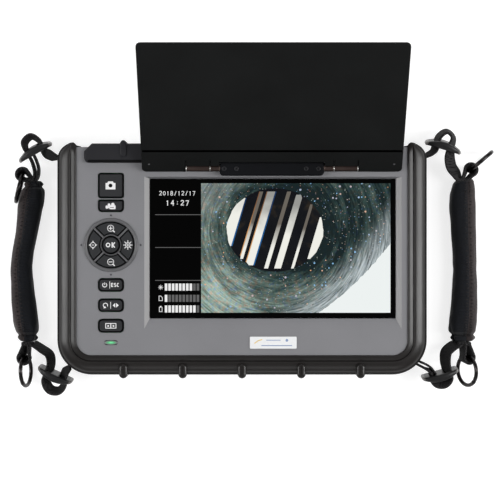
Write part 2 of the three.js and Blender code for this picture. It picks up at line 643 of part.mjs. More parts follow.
// A small band loop round a ring: from the sewn point, round the ring's rod and back, leaning with the rod.
function ringLoop(loop) {
  const [rodX, rodY] = loop.rod;
  const pull = new THREE.Vector2(loop.pull[0], loop.pull[1]).normalize();
  const toSewn = new THREE.Vector2(loop.sewn[0] - rodX, loop.sewn[1] - rodY);
  const sewn = [toSewn.dot(pull), pull.cross(toSewn)];
  const base = Math.atan2(sewn[1], sewn[0] - 0.9);
  const route = [];
  const turns = 7;
  const open = THREE.MathUtils.degToRad(52);
  for (let i = 0; i <= turns; i += 1) {
    const a = base + open + ((2 * Math.PI - 2 * open) * i) / turns;
    route.push([0.9 + 4 * Math.cos(a), 4 * Math.sin(a), 0]);
  }
  const off = [-Math.sin(base) * 1.05, Math.cos(base) * 1.05];
  route.unshift([sewn[0] + off[0], sewn[1] + off[1], -1]);
  route.push([sewn[0] - off[0], sewn[1] - off[1], -1]);
  const flat = band(route, () => 9, 1.3, 16).rotateX(-Math.PI / 2);
  return flat.applyMatrix4(ringBasis(loop)).translate(rodX, rodY, RING_Z);
}

function ring(loop) {
  const pull = new THREE.Vector3(loop.pull[0], loop.pull[1], 0).normalize();
  const centre = new THREE.Vector3(loop.rod[0], loop.rod[1], RING_Z).addScaledVector(pull, RING_R);
  const torus = bare(new THREE.TorusGeometry(RING_R, RING_TUBE_R, 6, 20));
  return torus.applyMatrix4(ringBasis(loop)).translate(centre.x, centre.y, centre.z);
}

// A tri-glide buckle seen from its end as an arched leaf; two slots let the band through.
function buckle(place) {
  const leaf = new THREE.Shape();
  const half = BUCKLE_LENGTH / 2;
  leaf.moveTo(-half, -0.8);
  leaf.quadraticCurveTo(0, -3.4 * place.arch - 0.4, half, -0.8);
  leaf.lineTo(half + 0.5, 0);
  leaf.lineTo(half, 0.8);
  leaf.quadraticCurveTo(0, 3.4 * (1 - place.arch) + 2.2, -half, 0.8);
  leaf.lineTo(-half - 0.5, 0);
  const outer = softPrism(leaf, -BUCKLE_DEPTH / 2, BUCKLE_DEPTH / 2, 0.5, 6);
  const slots = [-1, 1].map((s) => block(s * 5 - 2.4, -6, -6.7, s * 5 + 2.4, 6, 6.7));
  const angle = THREE.MathUtils.degToRad(place.turn);
  return combine(outer, [], slots).rotateZ(angle).translate(place.x, place.y, BUCKLE_Z);
}

// A neoprene sleeve: stations of centre x, y and width down its length, closed at both ends.
function pad(stations) {
  const sides = 12;
  const curve = new THREE.CatmullRomCurve3(stations.map(([x, y, w]) => new THREE.Vector3(x, y, w)));
  const steps = 14;
  const circle = (k) => (2 * Math.PI * k) / sides;
  const rings = [];
  for (let i = 0; i <= steps; i += 1) {
    const p = curve.getPoint(i / steps);
    const end = Math.min(1, 0.72 + 3 * Math.min(i, steps - i) / steps);
    const ringPoints = [];
    for (let k = 0; k < sides; k += 1) {
      const x = p.x + (p.z / 2) * Math.cos(circle(k));
      ringPoints.push(new THREE.Vector3(x, p.y, PAD_Z + PAD_HALF_Z * end * Math.sin(circle(k))));
    }
    rings.push(ringPoints);
  }
  const outline = Array.from({ length: sides }, (_, k) => new THREE.Vector2(Math.cos(circle(k)), Math.sin(circle(k))));
  return loft(rings, outline);
}

const STRAPS = {
  left: {
    pad: [[-139.9, 51.5, 10.5], [-140.3, 46, 14.5], [-141.3, 38.5, 16.8], [-142.5, 30, 15.8], [-144.2, 18, 14.4],
      [-146.8, 3.8, 13.9], [-147.8, -6.5, 14.2], [-147.2, -18, 15], [-146.3, -29, 16], [-145, -41, 16.5],
      [-144.1, -48.5, 14.6], [-143.6, -54.5, 11.5]],
    top: {
      route: [[-121, 66.9, LUG_Z], [-126, 68.4, 19], [-130.6, 70.4, 17.2], [-133.2, 74.1, BUCKLE_Z],
        [-135.2, 79, 15.9], [-140.8, 82.2, 15.8], [-145.3, 78, 15.9], [-144.6, 73.2, 16],
        [-142.2, 69.2, 15.8], [-139.7, 63.5, 13.8], [-138.5, 58, 12], [-138.9, 53, 10.6]],
      buckle: { x: -137.7, y: 71.3, turn: 29, arch: 0.3 },
      loop: { rod: [-146.4, 57.2], pull: [-0.24, -0.97], sewn: [-141.6, 53.2], lean: 4 },
      tack: [-144, 52.2, -137.8, 53.8],
    },
    bottom: {
      route: [[-139.8, -56.2, 10.6], [-134, -59.9, 12], [-128.6, -64, 14], [-127.3, -69.5, 15.6],
        [-128.7, -74.9, BUCKLE_Z], [-131.2, -81.5, 16], [-127.8, -88.2, 16], [-122, -88.9, 16],
        [-118.3, -84.6, 16], [-119.2, -79.2, BUCKLE_Z], [-117.6, -75.6, 18], [-114, -71.8, LUG_Z]],
      buckle: { x: -124.2, y: -76.9, turn: -24.5, arch: 0.7 },
      loop: { rod: [-144.8, -65.2], pull: [0.02, -1], sewn: [-143.6, -57.2], lean: -14 },
      tack: [-147, -57.6, -138.8, -55.9],
    },
  },
  right: {
    pad: [[148.2, 51, 12.5], [147.8, 45.5, 15.6], [147.5, 37.5, 17.2], [148, 21, 16.4], [148.8, 0, 15.2],
      [149, -9, 15.3], [148.8, -24, 16.6], [148.3, -37, 17.9], [147.6, -47, 18], [148, -54.5, 15]],
    top: {
      route: [[121, 67.5, LUG_Z], [125, 70, 19], [127.6, 72.8, 17.2], [128.9, 76.2, BUCKLE_Z],
        [131, 82.4, 15.9], [136.6, 85.8, 15.8], [141.2, 81.2, 15.9], [138.9, 73.6, 16],
        [138.2, 67.5, 15], [139.6, 61.5, 13.2], [143.2, 56.6, 11.6], [145.5, 52.8, 10.6]],
      buckle: { x: 133.6, y: 74.6, turn: -16.6, arch: 0.3 },
      loop: { rod: [151.8, 58.6], pull: [0.76, 0.65], sewn: [148.3, 52.8], lean: 2 },
      tack: [143.9, 51.9, 151, 53.5],
    },
    bottom: {
      route: [[144.8, -56.2, 10.6], [140.2, -58.4, 12], [136.2, -62.3, 14], [135.3, -68, 15.6],
        [136.5, -74.9, BUCKLE_Z], [138.3, -80.4, 16], [135.2, -85.2, 16], [129.6, -84.6, 16],
        [126.4, -79.8, 16], [125.9, -76.4, BUCKLE_Z], [122, -73.2, 18], [115.6, -69.7, LUG_Z]],
      buckle: { x: 131.4, y: -76.5, turn: 15, arch: 0.7 },
      loop: { rod: [149.6, -64.9], pull: [0.06, -1], sewn: [149, -57.2], lean: 32 },
      tack: [144, -57.6, 152.4, -55.9],
    },
  },
};

function addStrapEnd(side, end, parts) {
  const last = end === "top" ? 0 : 1;
  const nearLug = (t) => Math.abs(t - last);
  const width = (t) => Math.min(WEB_WIDTH, 5 + 60 * nearLug(t));
  const main = band(parts.route, width, WEB_THICK, 36);
  const [x0, y0, x1, y1] = parts.tack;
  const tack = block(x0, y0, RING_Z - 5.2, x1, y1, RING_Z + 3.2);
  node(`webbing_${side}_${end}`, combine(main, [tack, ringLoop(parts.loop)]), webbing());
  node(`buckle_${side}_${end}`, buckle(parts.buckle), blackPlastic());
  node(`ring_${side}_${end}`, ring(parts.loop), darkSteel());
}

function addStraps() {
  for (const [side, strap] of Object.entries(STRAPS)) {
    node(`grip_pad_${side}`, pad(strap.pad), neoprene());
    addStrapEnd(side, "top", strap.top);
    addStrapEnd(side, "bottom", strap.bottom);
  }
}

addFrontHousing();
addRearHousing();
addBumper();
addTopBlock();
addPorts();
addInside();
addBatteryDoor();
addKeys();
addTrim();
addHinge();
addLid();
addStraps();

export default unit;
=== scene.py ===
"""Looks of the handheld inspection camera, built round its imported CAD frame.

Lengths are millimetres in the helpers and metres in Blender. The unit lies on its back, +Z out of the display,
+Y towards the display's top, and the camera looks straight down on it.
"""

import math

import bmesh
import bpy
from mathutils import Matrix, Vector, noise


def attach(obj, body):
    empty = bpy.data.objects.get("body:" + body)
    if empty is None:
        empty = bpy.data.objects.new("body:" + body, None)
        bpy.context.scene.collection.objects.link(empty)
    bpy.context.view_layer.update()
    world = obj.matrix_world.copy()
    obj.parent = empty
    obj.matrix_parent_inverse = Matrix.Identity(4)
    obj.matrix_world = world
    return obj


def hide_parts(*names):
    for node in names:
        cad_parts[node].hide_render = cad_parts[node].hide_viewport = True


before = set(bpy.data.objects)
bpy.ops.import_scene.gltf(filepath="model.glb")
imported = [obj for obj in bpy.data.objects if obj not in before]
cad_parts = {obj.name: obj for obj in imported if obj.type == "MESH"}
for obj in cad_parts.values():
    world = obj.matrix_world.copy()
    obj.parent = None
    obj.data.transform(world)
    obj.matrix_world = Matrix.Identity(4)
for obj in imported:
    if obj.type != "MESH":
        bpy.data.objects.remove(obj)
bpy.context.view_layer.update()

MM = 0.001
TAU = 2 * math.pi
KEY_X = -85.4
LED_Y = -54.5


# ---------- camera, floor and light ----------
VIEW_CENTRE = (5.2, 5.85)
FACE_Z = 42.0
CAMERA_HEIGHT = 1245.0
FIELD_WIDTH = 325.0
SENSOR = 36.0
FLOOR_SIDE = 8.0


def make_camera():
    data = bpy.data.cameras.new("camera")
    data.sensor_width = SENSOR
    data.lens = SENSOR * (CAMERA_HEIGHT - 45) / FIELD_WIDTH
    camera = bpy.data.objects.new("camera", data)
    camera.location = (VIEW_CENTRE[0] * MM, VIEW_CENTRE[1] * MM, CAMERA_HEIGHT * MM)
    bpy.context.scene.collection.objects.link(camera)
    bpy.context.scene.camera = camera


def make_light(name, place, aim, size, power):
    data = bpy.data.lights.new(name, "AREA")
    data.shape = "RECTANGLE"
    data.size, data.size_y = size
    data.energy = power
    lamp = bpy.data.objects.new(name, data)
    lamp.location = place
    direction = Vector(aim) - Vector(place)
    lamp.rotation_euler = direction.to_track_quat("-Z", "Y").to_euler()
    bpy.context.scene.collection.objects.link(lamp)


def make_studio():
    """A pale, faintly lit floor, a soft white world and a panel on each side of the object."""
    scene = bpy.context.scene
    scene.view_settings.view_transform = "Standard"
    world = bpy.data.worlds.new("studio")
    world.use_nodes = True
    background = world.node_tree.nodes["Background"]
    background.inputs["Color"].default_value = (1, 1, 1, 1)
    background.inputs["Strength"].default_value = 0.3
    scene.world = world
    data = bpy.data.meshes.new("floor")
    half = FLOOR_SIDE / 2
    data.from_pydata([(-half, -half, 0), (half, -half, 0), (half, half, 0), (-half, half, 0)], [], [(0, 1, 2, 3)])
    floor = bpy.data.objects.new("floor", data)
    data.materials.append(Graph("floor_white").set(Base_Color=(0.42, 0.42, 0.42, 1), Roughness=0.9,
                                                   Emission_Color=(1, 1, 1, 1), Emission_Strength=0.76))
    scene.collection.objects.link(floor)
    for side, power in ((-1, 11.0), (1, 16.0)):
        make_light("side_panel", (side * 1.1, 0.0, 0.9), (0, 0, 0.03), (0.26, 1.2), power)
        make_light("end_panel", (0.0, side * 1.3, 1.0), (0, 0, 0.03), (1.2, 0.5), 2.5)


# ---------- materials ----------
def srgb(*channels):
    """Linear colour of 0-255 sRGB channels."""
    out = []
    for c in channels:
        c = c / 255
        out.append(c / 12.92 if c <= 0.04045 else ((c + 0.055) / 1.055) ** 2.4)
    return tuple(out)


class Graph:
    """Short-hand for building a material's nodes."""

    def __init__(self, name):
        self.material = bpy.data.materials.new(name)
        self.material.use_nodes = True
        self.tree = self.material.node_tree
        self.shader = self.tree.nodes["Principled BSDF"]
        self.coords = self.add("ShaderNodeTexCoord").outputs["Object"]

    def add(self, kind, settings=None, **inputs):
        node = self.tree.nodes.new(kind)
        for key, value in (settings or {}).items():
            setattr(node, key, value)
        for key, value in inputs.items():
            self.plug(node, key.replace("_", " "), value)
        return node

    def plug(self, node, key, value):
        socket = node.inputs[int(key) if key.isdigit() else key]
        if isinstance(value, bpy.types.NodeSocket):
            self.tree.links.new(value, socket)
        else:
            socket.default_value = value

    def math(self, operation, *values):
        node = self.add("ShaderNodeMath", {"operation": operation})
        for i, value in enumerate(values):
            self.plug(node, str(i), value)
        return node.outputs[0]

    def total(self, first, *others):
        for other in others:
            first = self.math("ADD", first, other)
        return first

    def length(self, x, y):
        return self.math("SQRT", self.total(self.math("POWER", x, 2.0), self.math("POWER", y, 2.0)))

    def clamp(self, value, low, high):
        return self.math("MAXIMUM", self.math("MINIMUM", value, high), low)

    def mapped(self, scale=(1, 1, 1), turn=0.0):
        return self.add("ShaderNodeMapping", Vector=self.coords, Scale=scale, Rotation=(0, 0, turn)).outputs[0]

    def noise(self, scale, detail=3.0, rough=0.5, vector=None):
        return self.add("ShaderNodeTexNoise", Vector=vector or self.coords, Scale=scale, Detail=detail,
                        Roughness=rough).outputs["Fac"]

    def ramp(self, value, stops):
        node = self.add("ShaderNodeValToRGB", Fac=value)
        elements = node.color_ramp.elements
        while len(elements) < len(stops):
            elements.new(1.0)
        for element, (at, color) in zip(elements, stops):
            element.position = at
            element.color = (*color, 1)
        return node.outputs["Color"]

    def mix(self, fac, a, b, blend="MIX"):
        node = self.add("ShaderNodeMix", {"data_type": "RGBA", "blend_type": blend})
        self.plug(node, "0", fac)
        for index, value in ((6, a), (7, b)):
            if isinstance(value, tuple):
                value = (*value[:3], 1)
            self.plug(node, str(index), value)
        return node.outputs[2]

    def bump(self, height, strength, distance):
        return self.add("ShaderNodeBump", Height=height, Strength=strength, Distance=distance).outputs[0]

    def set(self, **values):
        for key, value in values.items():
            self.plug(self.shader, key.replace("_", " "), value)
        return self.material


def moulded(name, color, rough, grain=2600.0, depth=0.00006, vary=0.12, specular=0.5):
    """Moulded plastic or rubber: fine spark-eroded grain, faint mottling and uneven gloss."""
    g = Graph(name)
    fine = g.noise(grain, 2.0)
    broad = g.noise(28.0, 3.0)
    dark = tuple(c * (1 - vary) for c in color)
    light = tuple(min(1, c * (1 + vary)) for c in color)
    return g.set(Base_Color=g.ramp(broad, [(0.3, dark), (0.7, light)]),
                 Roughness=g.math("MULTIPLY_ADD", broad, 0.12, rough - 0.06),
                 Normal=g.bump(fine, 0.35, depth), Specular_IOR_Level=specular)


def metal(name, color, rough):
    """Plated metal with fine scratches and patches of wear."""
    g = Graph(name)
    scratches = g.noise(900.0, 4.0, vector=g.mapped((1, 6, 1)))
    wear = g.noise(120.0, 4.0)
    bright = tuple(min(1, c * 1.6) for c in color)
    return g.set(Base_Color=g.ramp(wear, [(0.35, color), (0.75, bright)]),
                 Roughness=g.math("MULTIPLY_ADD", scratches, 0.25, rough - 0.1),
                 Normal=g.bump(scratches, 0.2, 0.00004), Metallic=1.0)


def knit(name, color, light):
    """Neoprene with a fine knit face: small loops in rows, soft sheen."""
    g = Graph(name)
    rows = g.add("ShaderNodeTexWave", {"bands_direction": "Y"}, Vector=g.coords, Scale=260.0, Distortion=1.2,
                 Detail=1.0).outputs["Fac"]
    loops = g.add("ShaderNodeTexVoronoi", Vector=g.mapped((1, 0.7, 1)), Scale=950.0).outputs["Distance"]
    height = g.total(g.math("MULTIPLY", rows, 0.4), loops)
    return g.set(Base_Color=g.mix(g.noise(60.0, 4.0), g.ramp(loops, [(0.0, color), (0.8, light)]), color),
                 Roughness=g.math("MULTIPLY_ADD", loops, 0.15, 0.72), Normal=g.bump(height, 0.5, 0.00018),
                 Sheen_Weight=0.12, Sheen_Roughness=0.5, Specular_IOR_Level=0.2)


def woven(name, color, light):
    """Webbing: a tight diagonal weave."""
    g = Graph(name)
    waves = [
        g.add("ShaderNodeTexWave", {"bands_direction": "DIAGONAL"}, Vector=g.mapped((1, 1, 1), turn),
              Scale=330.0, Distortion=0.3).outputs["Fac"]
        for turn in (0.0, math.pi / 2)
    ]
    weave = g.math("MAXIMUM", *waves)
    fuzz = g.noise(1500.0, 3.0)
    return g.set(Base_Color=g.ramp(g.math("MULTIPLY", weave, fuzz), [(0.12, color), (0.45, light)]),
                 Roughness=g.math("MULTIPLY_ADD", fuzz, 0.2, 0.62), Normal=g.bump(weave, 0.7, 0.00022),
                 Specular_IOR_Level=0.12)


def glowing(name, color):
    """A glowing sign with the panel's faint unevenness: the display's lit readouts, and the keys' white ink, whose glow
    is painted light.
    """
    g = Graph(name)
    tone = g.ramp(g.noise(400.0, 1.0), [(0.2, tuple(c * 0.9 for c in color)), (0.8, color)])
    return g.set(Base_Color=(0.01, 0.01, 0.01, 1), Roughness=0.2, Emission_Color=tone, Emission_Strength=1.0)


def lens_glow():
    """The status lens: lit green at its middle, fading into the grey round it."""
    g = Graph("status_green")
    split = g.add("ShaderNodeSeparateXYZ", Vector=g.coords).outputs
    across = g.math("DIVIDE", g.math("SUBTRACT", split[0], KEY_X * MM), 4.3 * MM)
    up = g.math("DIVIDE", g.math("SUBTRACT", split[1], LED_Y * MM), 1.3 * MM)
    reach = g.total(g.length(across, up), g.math("MULTIPLY", g.noise(900.0, 2.0), 0.06))
    glow = [(0.2, srgb(120, 226, 160)), (0.55, srgb(72, 160, 104)), (0.9, (0, 0, 0))]
    return g.set(Base_Color=g.ramp(reach, [(0.5, srgb(40, 90, 60)), (0.95, srgb(118, 119, 121))]), Roughness=0.35,
                 Emission_Color=g.ramp(reach, glow), Emission_Strength=0.85)


def printed(name, color):
    """Screen-printed ink."""
    g = Graph(name)
    tone = g.ramp(g.noise(900.0, 2.0), [(0.2, tuple(c * 0.93 for c in color)), (0.8, color)])
    return g.set(Base_Color=tone, Roughness=0.5)


M = {
    "grey": moulded("grey_plastic", srgb(119, 119, 122), 0.55, vary=0.035, depth=0.00008, specular=0.3),
    # A lighter copy of the grey face for the recess slopes: painted light.
    "recess": moulded("recess_plastic_lit", srgb(134, 133, 134), 0.4, vary=0.04),
    "rubber": moulded("bumper_rubber", srgb(22, 19, 18), 0.34, grain=1800.0, vary=0.1, depth=0.00005, specular=0.38),
    # A darker, duller copy of the bumper rubber for its steep sides: painted shade.
    "rubber_side_shade": moulded("bumper_side_shade", srgb(19, 18, 18), 0.6, grain=1800.0, vary=0.15, depth=0.00008, specular=0.06),
    "top_rubber": moulded("top_rubber", srgb(36, 36, 39), 0.5, grain=1800.0, vary=0.1, depth=0.00005, specular=0.15),
    # Near-black copy of the top rubber for the strip along the block's lower edge: painted shade.
    "top_edge_shade": moulded("top_rubber_edge_shade", srgb(14, 14, 15), 0.6, grain=1800.0, vary=0.1, depth=0.00005, specular=0.05),
    "black": moulded("black_plastic", srgb(30, 30, 31), 0.5, vary=0.15),
    "lid": moulded("lid_plastic", srgb(19, 20, 20), 0.65, grain=3200.0, vary=0.16, specular=0.08),
    "hinge": moulded("hinge_plastic", srgb(12, 13, 16), 0.5, vary=0.15, specular=0.08),
    "key": moulded("key_rubber", srgb(40, 41, 43), 0.6, grain=3000.0, vary=0.08, specular=0.2),
    # Near-black copy of the key rubber: painted shade on each key's rounded sides, and the dark marks inside the key
    # symbols.
    "key_side_shade_and_ink": moulded("key_side_shade_and_ink", srgb(5, 5, 6), 0.6, grain=3000.0, vary=0.1, specular=0.06),
    "ring": moulded("ring_plastic", srgb(86, 86, 88), 0.4, vary=0.06),
    "buckle": moulded("buckle_plastic", srgb(24, 24, 25), 0.36, vary=0.25, grain=900.0, specular=0.3),
    # A lighter copy of the buckle plastic for its tips: painted highlight.
    "buckle_end_highlight": moulded("buckle_tip_highlight", srgb(84, 81, 78), 0.3, vary=0.35, grain=900.0),
    "steel": metal("steel", srgb(175, 173, 170), 0.32),
    "dark_steel": metal("dark_steel", srgb(44, 42, 42), 0.22),
    "knuckle": metal("hinge_metal", srgb(62, 52, 49), 0.42),
    "knuckle_light": metal("hinge_band", srgb(96, 84, 78), 0.4),
    # Near-black for the thin sheet along the lid's crease: painted shadow.
    "gap": moulded("crease_shadow_black", srgb(2, 2, 2), 0.9, vary=0.2, specular=0.0),
    "screw": moulded("screw_black", srgb(26, 26, 29), 0.4, vary=0.2, specular=0.3),
    "board": moulded("circuit_board", srgb(30, 92, 55), 0.4, vary=0.2),
    "battery": moulded("battery_wrap", srgb(44, 95, 138), 0.35, vary=0.1),
    "knit": knit("neoprene_knit", srgb(3, 5, 9), srgb(17, 20, 28)),
    "binding": knit("neoprene_binding", srgb(34, 30, 30), srgb(72, 64, 64)),
    "web": woven("webbing_weave", srgb(3, 3, 4), srgb(46, 45, 46)),
    "thread": woven("thread", srgb(13, 12, 13), srgb(46, 43, 44)),
    "glass": moulded("display_glass", srgb(4, 4, 4), 0.12, depth=0.0, vary=0.05, specular=0.03),
    "lit": glowing("readout_lit", srgb(240, 240, 240)),
    "lit_dim": glowing("readout_dim", srgb(92, 92, 92)),
    "led": lens_glow(),
    "plate": printed("plate_white", srgb(226, 227, 228)),
    "plate_blue": printed("plate_blue", srgb(122, 142, 178)),
    "plate_warm": printed("plate_warm", srgb(222, 196, 128)),
    # The keys' white print is made to glow: painted light.
    "ink": glowing("glowing_white_ink", srgb(236, 236, 236)),
    "mark": printed("dark_mark", srgb(40, 40, 44)),
}

make_camera()
make_studio()


# ---------- meshes ----------
def smooth(obj, angle=38):
    """Smooth shading that keeps sharp edges sharp and large flat faces flat."""
    obj.data.shade_smooth()
    obj.data.set_sharp_from_angle(angle=math.radians(angle))
    if "even" not in obj.modifiers:
        even = obj.modifiers.new("even", "WEIGHTED_NORMAL")
        even.keep_sharp = True


def piece(name, verts, faces, material, body, replaced=(), angle=38):
    """A mesh from millimetre corners that rides on a body and stands for the CAD nodes it replaces."""
    data = bpy.data.meshes.new(name)
    data.from_pydata([tuple(c * MM for c in v) for v in verts], [], faces)
    data.validate()
    data.materials.append(material)
    obj = bpy.data.objects.new(name, data)
    bpy.context.scene.collection.objects.link(obj)
    outward(obj)
    smooth(obj, angle)
    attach(obj, body)
    if replaced:
        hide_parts(*replaced)
    return obj


def outward(obj):
    bm = bmesh.new()
    bm.from_mesh(obj.data)
    bmesh.ops.recalc_face_normals(bm, faces=bm.faces)
    bm.to_mesh(obj.data)
    bm.free()


def apply_modifiers(obj):
    graph = bpy.context.evaluated_depsgraph_get()
    old = obj.data
    obj.data = bpy.data.meshes.new_from_object(obj.evaluated_get(graph))
    obj.modifiers.clear()
    bpy.data.meshes.remove(old)


def skin(rings, closed_ends=True):
    """Corners and faces of a skin through rings of equal count."""
    count = len(rings[0])
    verts = [p for ring in rings for p in ring]
    faces = []
    for i in range(len(rings) - 1):
        for k in range(count):
            a, b = i * count + k, i * count + (k + 1) % count
            faces.append((a, b, b + count, a + count))
    if closed_ends:
        faces.append(tuple(reversed(range(count))))
        faces.append(tuple((len(rings) - 1) * count + k for k in range(count)))
    return verts, faces


def arc(cx, cy, r, start, end, steps):
    """Points on an arc, in degrees, both ends included."""
    return [
        (cx + r * math.cos(math.radians(start + (end - start) * i / steps)),
         cy + r * math.sin(math.radians(start + (end - start) * i / steps)))
        for i in range(steps + 1)
    ]


def oval(cx, cy, rx, ry, steps):
    return [(cx + rx * math.cos(TAU * i / steps), cy + ry * math.sin(TAU * i / steps)) for i in range(steps)]


def rounded_rect(x0, y0, x1, y1, r, steps=6):
    """Anticlockwise outline; r is one radius or four, from the lower left corner on."""
    radii = r if isinstance(r, (tuple, list)) else (r,) * 4
    corners = [(x0 + radii[0], y0 + radii[0], 180), (x1 - radii[1], y0 + radii[1], 270),
               (x1 - radii[2], y1 - radii[2], 0), (x0 + radii[3], y1 - radii[3], 90)]
    points = []
    for (cx, cy, start), radius in zip(corners, radii):
        points += arc(cx, cy, radius, start, start + 90, steps)
    return points


def inset(points, distance):
    """The outline moved inwards along its corners' normals."""
    out = []
    count = len(points)
    for i, (x, y) in enumerate(points):
        ax, ay = points[i - 1]
        bx, by = points[(i + 1) % count]
        normals = []
        for ux, uy in ((x - ax, y - ay), (bx - x, by - y)):
            length = math.hypot(ux, uy)
            if length > 1e-9:
                normals.append((uy / length, -ux / length))
        nx = sum(n[0] for n in normals) / len(normals)
        ny = sum(n[1] for n in normals) / len(normals)
        square = max(0.3, nx * nx + ny * ny)
        out.append((x - distance * nx / square, y - distance * ny / square))
    return out


def soft_rings(outline, z0, z1, edge, low_edge=0.2, crown=0.0, steps=4):
    """Rings of a prism with a rounded upper edge, a small lower one and, on request, a crowned top."""
    rings = [[(x, y, z0) for x, y in inset(outline, low_edge)], [(x, y, z0 + low_edge) for x, y in outline]]
    for i in range(steps + 1):
        a = math.radians(90 * i / steps)
        z = z1 - crown - edge + edge * math.sin(a)
        rings.append([(x, y, z) for x, y in inset(outline, edge * (1 - math.cos(a)))])
    if crown:
        cx = sum(p[0] for p in outline) / len(outline)
        cy = sum(p[1] for p in outline) / len(outline)
        top = inset(outline, edge)
        for share in (0.8, 0.55, 0.25):
            z = z1 - crown * share * share
            rings.append([(cx + (x - cx) * share, cy + (y - cy) * share, z) for x, y in top])
    return rings


def soft_piece(name, outline, z0, z1, edge, material, body, slot, replaced=(), **options):
    verts, faces = skin(soft_rings(outline, z0, z1, edge, **options))
    return piece(name, verts, faces, material, body, replaced)


def refine(node, material, bevel=0.3, segments=2):
    """A CAD node kept as it is, with its flat faces joined and its edges rounded by modifiers."""
    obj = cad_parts[node]
    obj.data.materials.clear()
    obj.data.materials.append(material)
    weld = obj.modifiers.new("weld", "WELD")
    weld.merge_threshold = 0.00001
    flat = obj.modifiers.new("flat", "DECIMATE")
    flat.decimate_type = "DISSOLVE"
    flat.angle_limit = math.radians(1)
    if bevel:
        add_bevel(obj, bevel, segments, 25).harden_normals = True
    smooth(obj, 35)


def tint(obj, material, chosen):
    """Gives the chosen polygons a second material."""
    obj.data.materials.append(material)
    for polygon in obj.data.polygons:
        if chosen(polygon):
            polygon.material_index = 1


def add_bevel(obj, width, segments, angle):
    edge = obj.modifiers.new("edge", "BEVEL")
    edge.width = width * MM
    edge.segments = segments
    edge.limit_method = "ANGLE"
    edge.angle_limit = math.radians(angle)
    return edge


def box_cutter(x0, y0, z0, x1, y1, z1, turn=0.0, place=(0, 0)):
    """A bare box used to cut with, turned about Z and moved."""
    c, s = math.cos(turn), math.sin(turn)
    verts = []
    for z in (z0, z1):
        for x, y in ((x0, y0), (x1, y0), (x1, y1), (x0, y1)):
            verts.append((place[0] + x * c - y * s, place[1] + x * s + y * c, z))
    faces = [(3, 2, 1, 0), (4, 5, 6, 7), (0, 1, 5, 4), (1, 2, 6, 5), (2, 3, 7, 6), (3, 0, 4, 7)]
    data = bpy.data.meshes.new("cutter")
    data.from_pydata([tuple(v * MM for v in p) for p in verts], [], faces)
    obj = bpy.data.objects.new("cutter", data)
    bpy.context.scene.collection.objects.link(obj)
    return obj


def cut(obj, cutters):
    """Takes the cutters out of a piece and removes them."""
    for cutter in cutters:
        modifier = obj.modifiers.new("cut", "BOOLEAN")
        modifier.operation = "DIFFERENCE"
        modifier.object = cutter
        modifier.solver = "EXACT"
    bpy.context.view_layer.update()
    apply_modifiers(obj)
    for cutter in cutters:
        bpy.data.objects.remove(cutter)
    smooth(obj)


# ---------- bumper ----------
BODY_HALF_X = 121.0
BODY_BOTTOM_Y = -75.8
BUMPER_WIDTH = 13.7
BUMPER_MID_Z = 22.5
GROOVE_U = 4.2
FACE_CORNER_R = 9.0
NOSE_Y = 76.0
NOSE_LENGTH = 11.0
NOSE_PEAK = 3.1
INNER_X = BODY_HALF_X - BUMPER_WIDTH
INNER_BOTTOM_Y = BODY_BOTTOM_Y + BUMPER_WIDTH
RIB_X = (-77.2, -38.6, 0, 38.6, 77.2)
LUG_Z = 20.0
# Where each strap's bar stands, and the direction that its slot faces.
LUGS = {
    "left_top": (-120.2, 66.9, math.pi),
    "right_top": (120.2, 67.5, 0.0),
    "left_bottom": (-112.89, -70.49, math.pi + math.radians(50)),
    "right_bottom": (114.63, -68.87, -math.radians(44)),
}


def bumper_section():
    """(u, w): u outwards from the grey face's edge, w up from the back."""
    points = [(0.6, 42.15), (0.6, 42.6), (0.75, 42.9), (1.05, 43.1), (1.5, 43.15), (2.2, 43.02), (3.0, 42.8),
              (3.8, 42.5), (GROOVE_U, 42.4), (4.4, 42.8), (4.65, 43.15)]
    for i in range(13):
        a = math.pi / 2 * i / 12
        points.append((4.9 + 8.8 * math.sin(a), 35 + 8.35 * math.cos(a)))
    points += [(13.7, 24.2), (13.2, 23.7), (13.2, 22.3), (13.7, 21.8)]
    for i in range(8):
        a = math.pi / 2 * i / 7
        points.append((9.1 + 4.6 * math.cos(a), 7 - 7 * math.sin(a)))
    return points + [(3.0, 0.0), (0.6, 0.15), (0, 0.8), (0, 1.7), (7.2, 1.7), (7.2, 42.2)]


def bumper_stations():
    """(x, y, outward angle, width share, height share) from the top left round to the top right."""
    half = []
    for degrees in (2.5, 7.5, 15, 22.5, 30, 37.5, 45, 52.5, 60, 67.5, 75, 82.5, 90):
        turn = math.radians(degrees)
        below = NOSE_LENGTH * (1 - math.cos(turn))
        outer = NOSE_PEAK + (BUMPER_WIDTH - NOSE_PEAK) * math.sin(turn)
        inner = NOSE_PEAK * (1 - math.sqrt(1 - (1 - min(1.0, below / 2.4)) ** 2))
        height = 1 - 0.22 * (1 - math.sin(turn)) ** 2.2
        half.append((-INNER_X - inner, NOSE_Y - below, math.pi, (outer - inner) / BUMPER_WIDTH, height))
    for y in (40, 20, 0, -20, -40):
        half.append((-INNER_X, y, math.pi, 1, 1))
    cx, cy = INNER_X - FACE_CORNER_R, INNER_BOTTOM_Y + FACE_CORNER_R
    for i in range(17):
        angle = math.pi * (1 + i / 32)
        half.append((-cx + FACE_CORNER_R * math.cos(angle), cy + FACE_CORNER_R * math.sin(angle), angle, 1, 1))
    for x in (-80, -50, -25):
        half.append((x, INNER_BOTTOM_Y, 1.5 * math.pi, 1, 1))
    mirror = [(-x, y, math.pi - angle, share, height) for x, y, angle, share, height in reversed(half)]
    return half + mirror


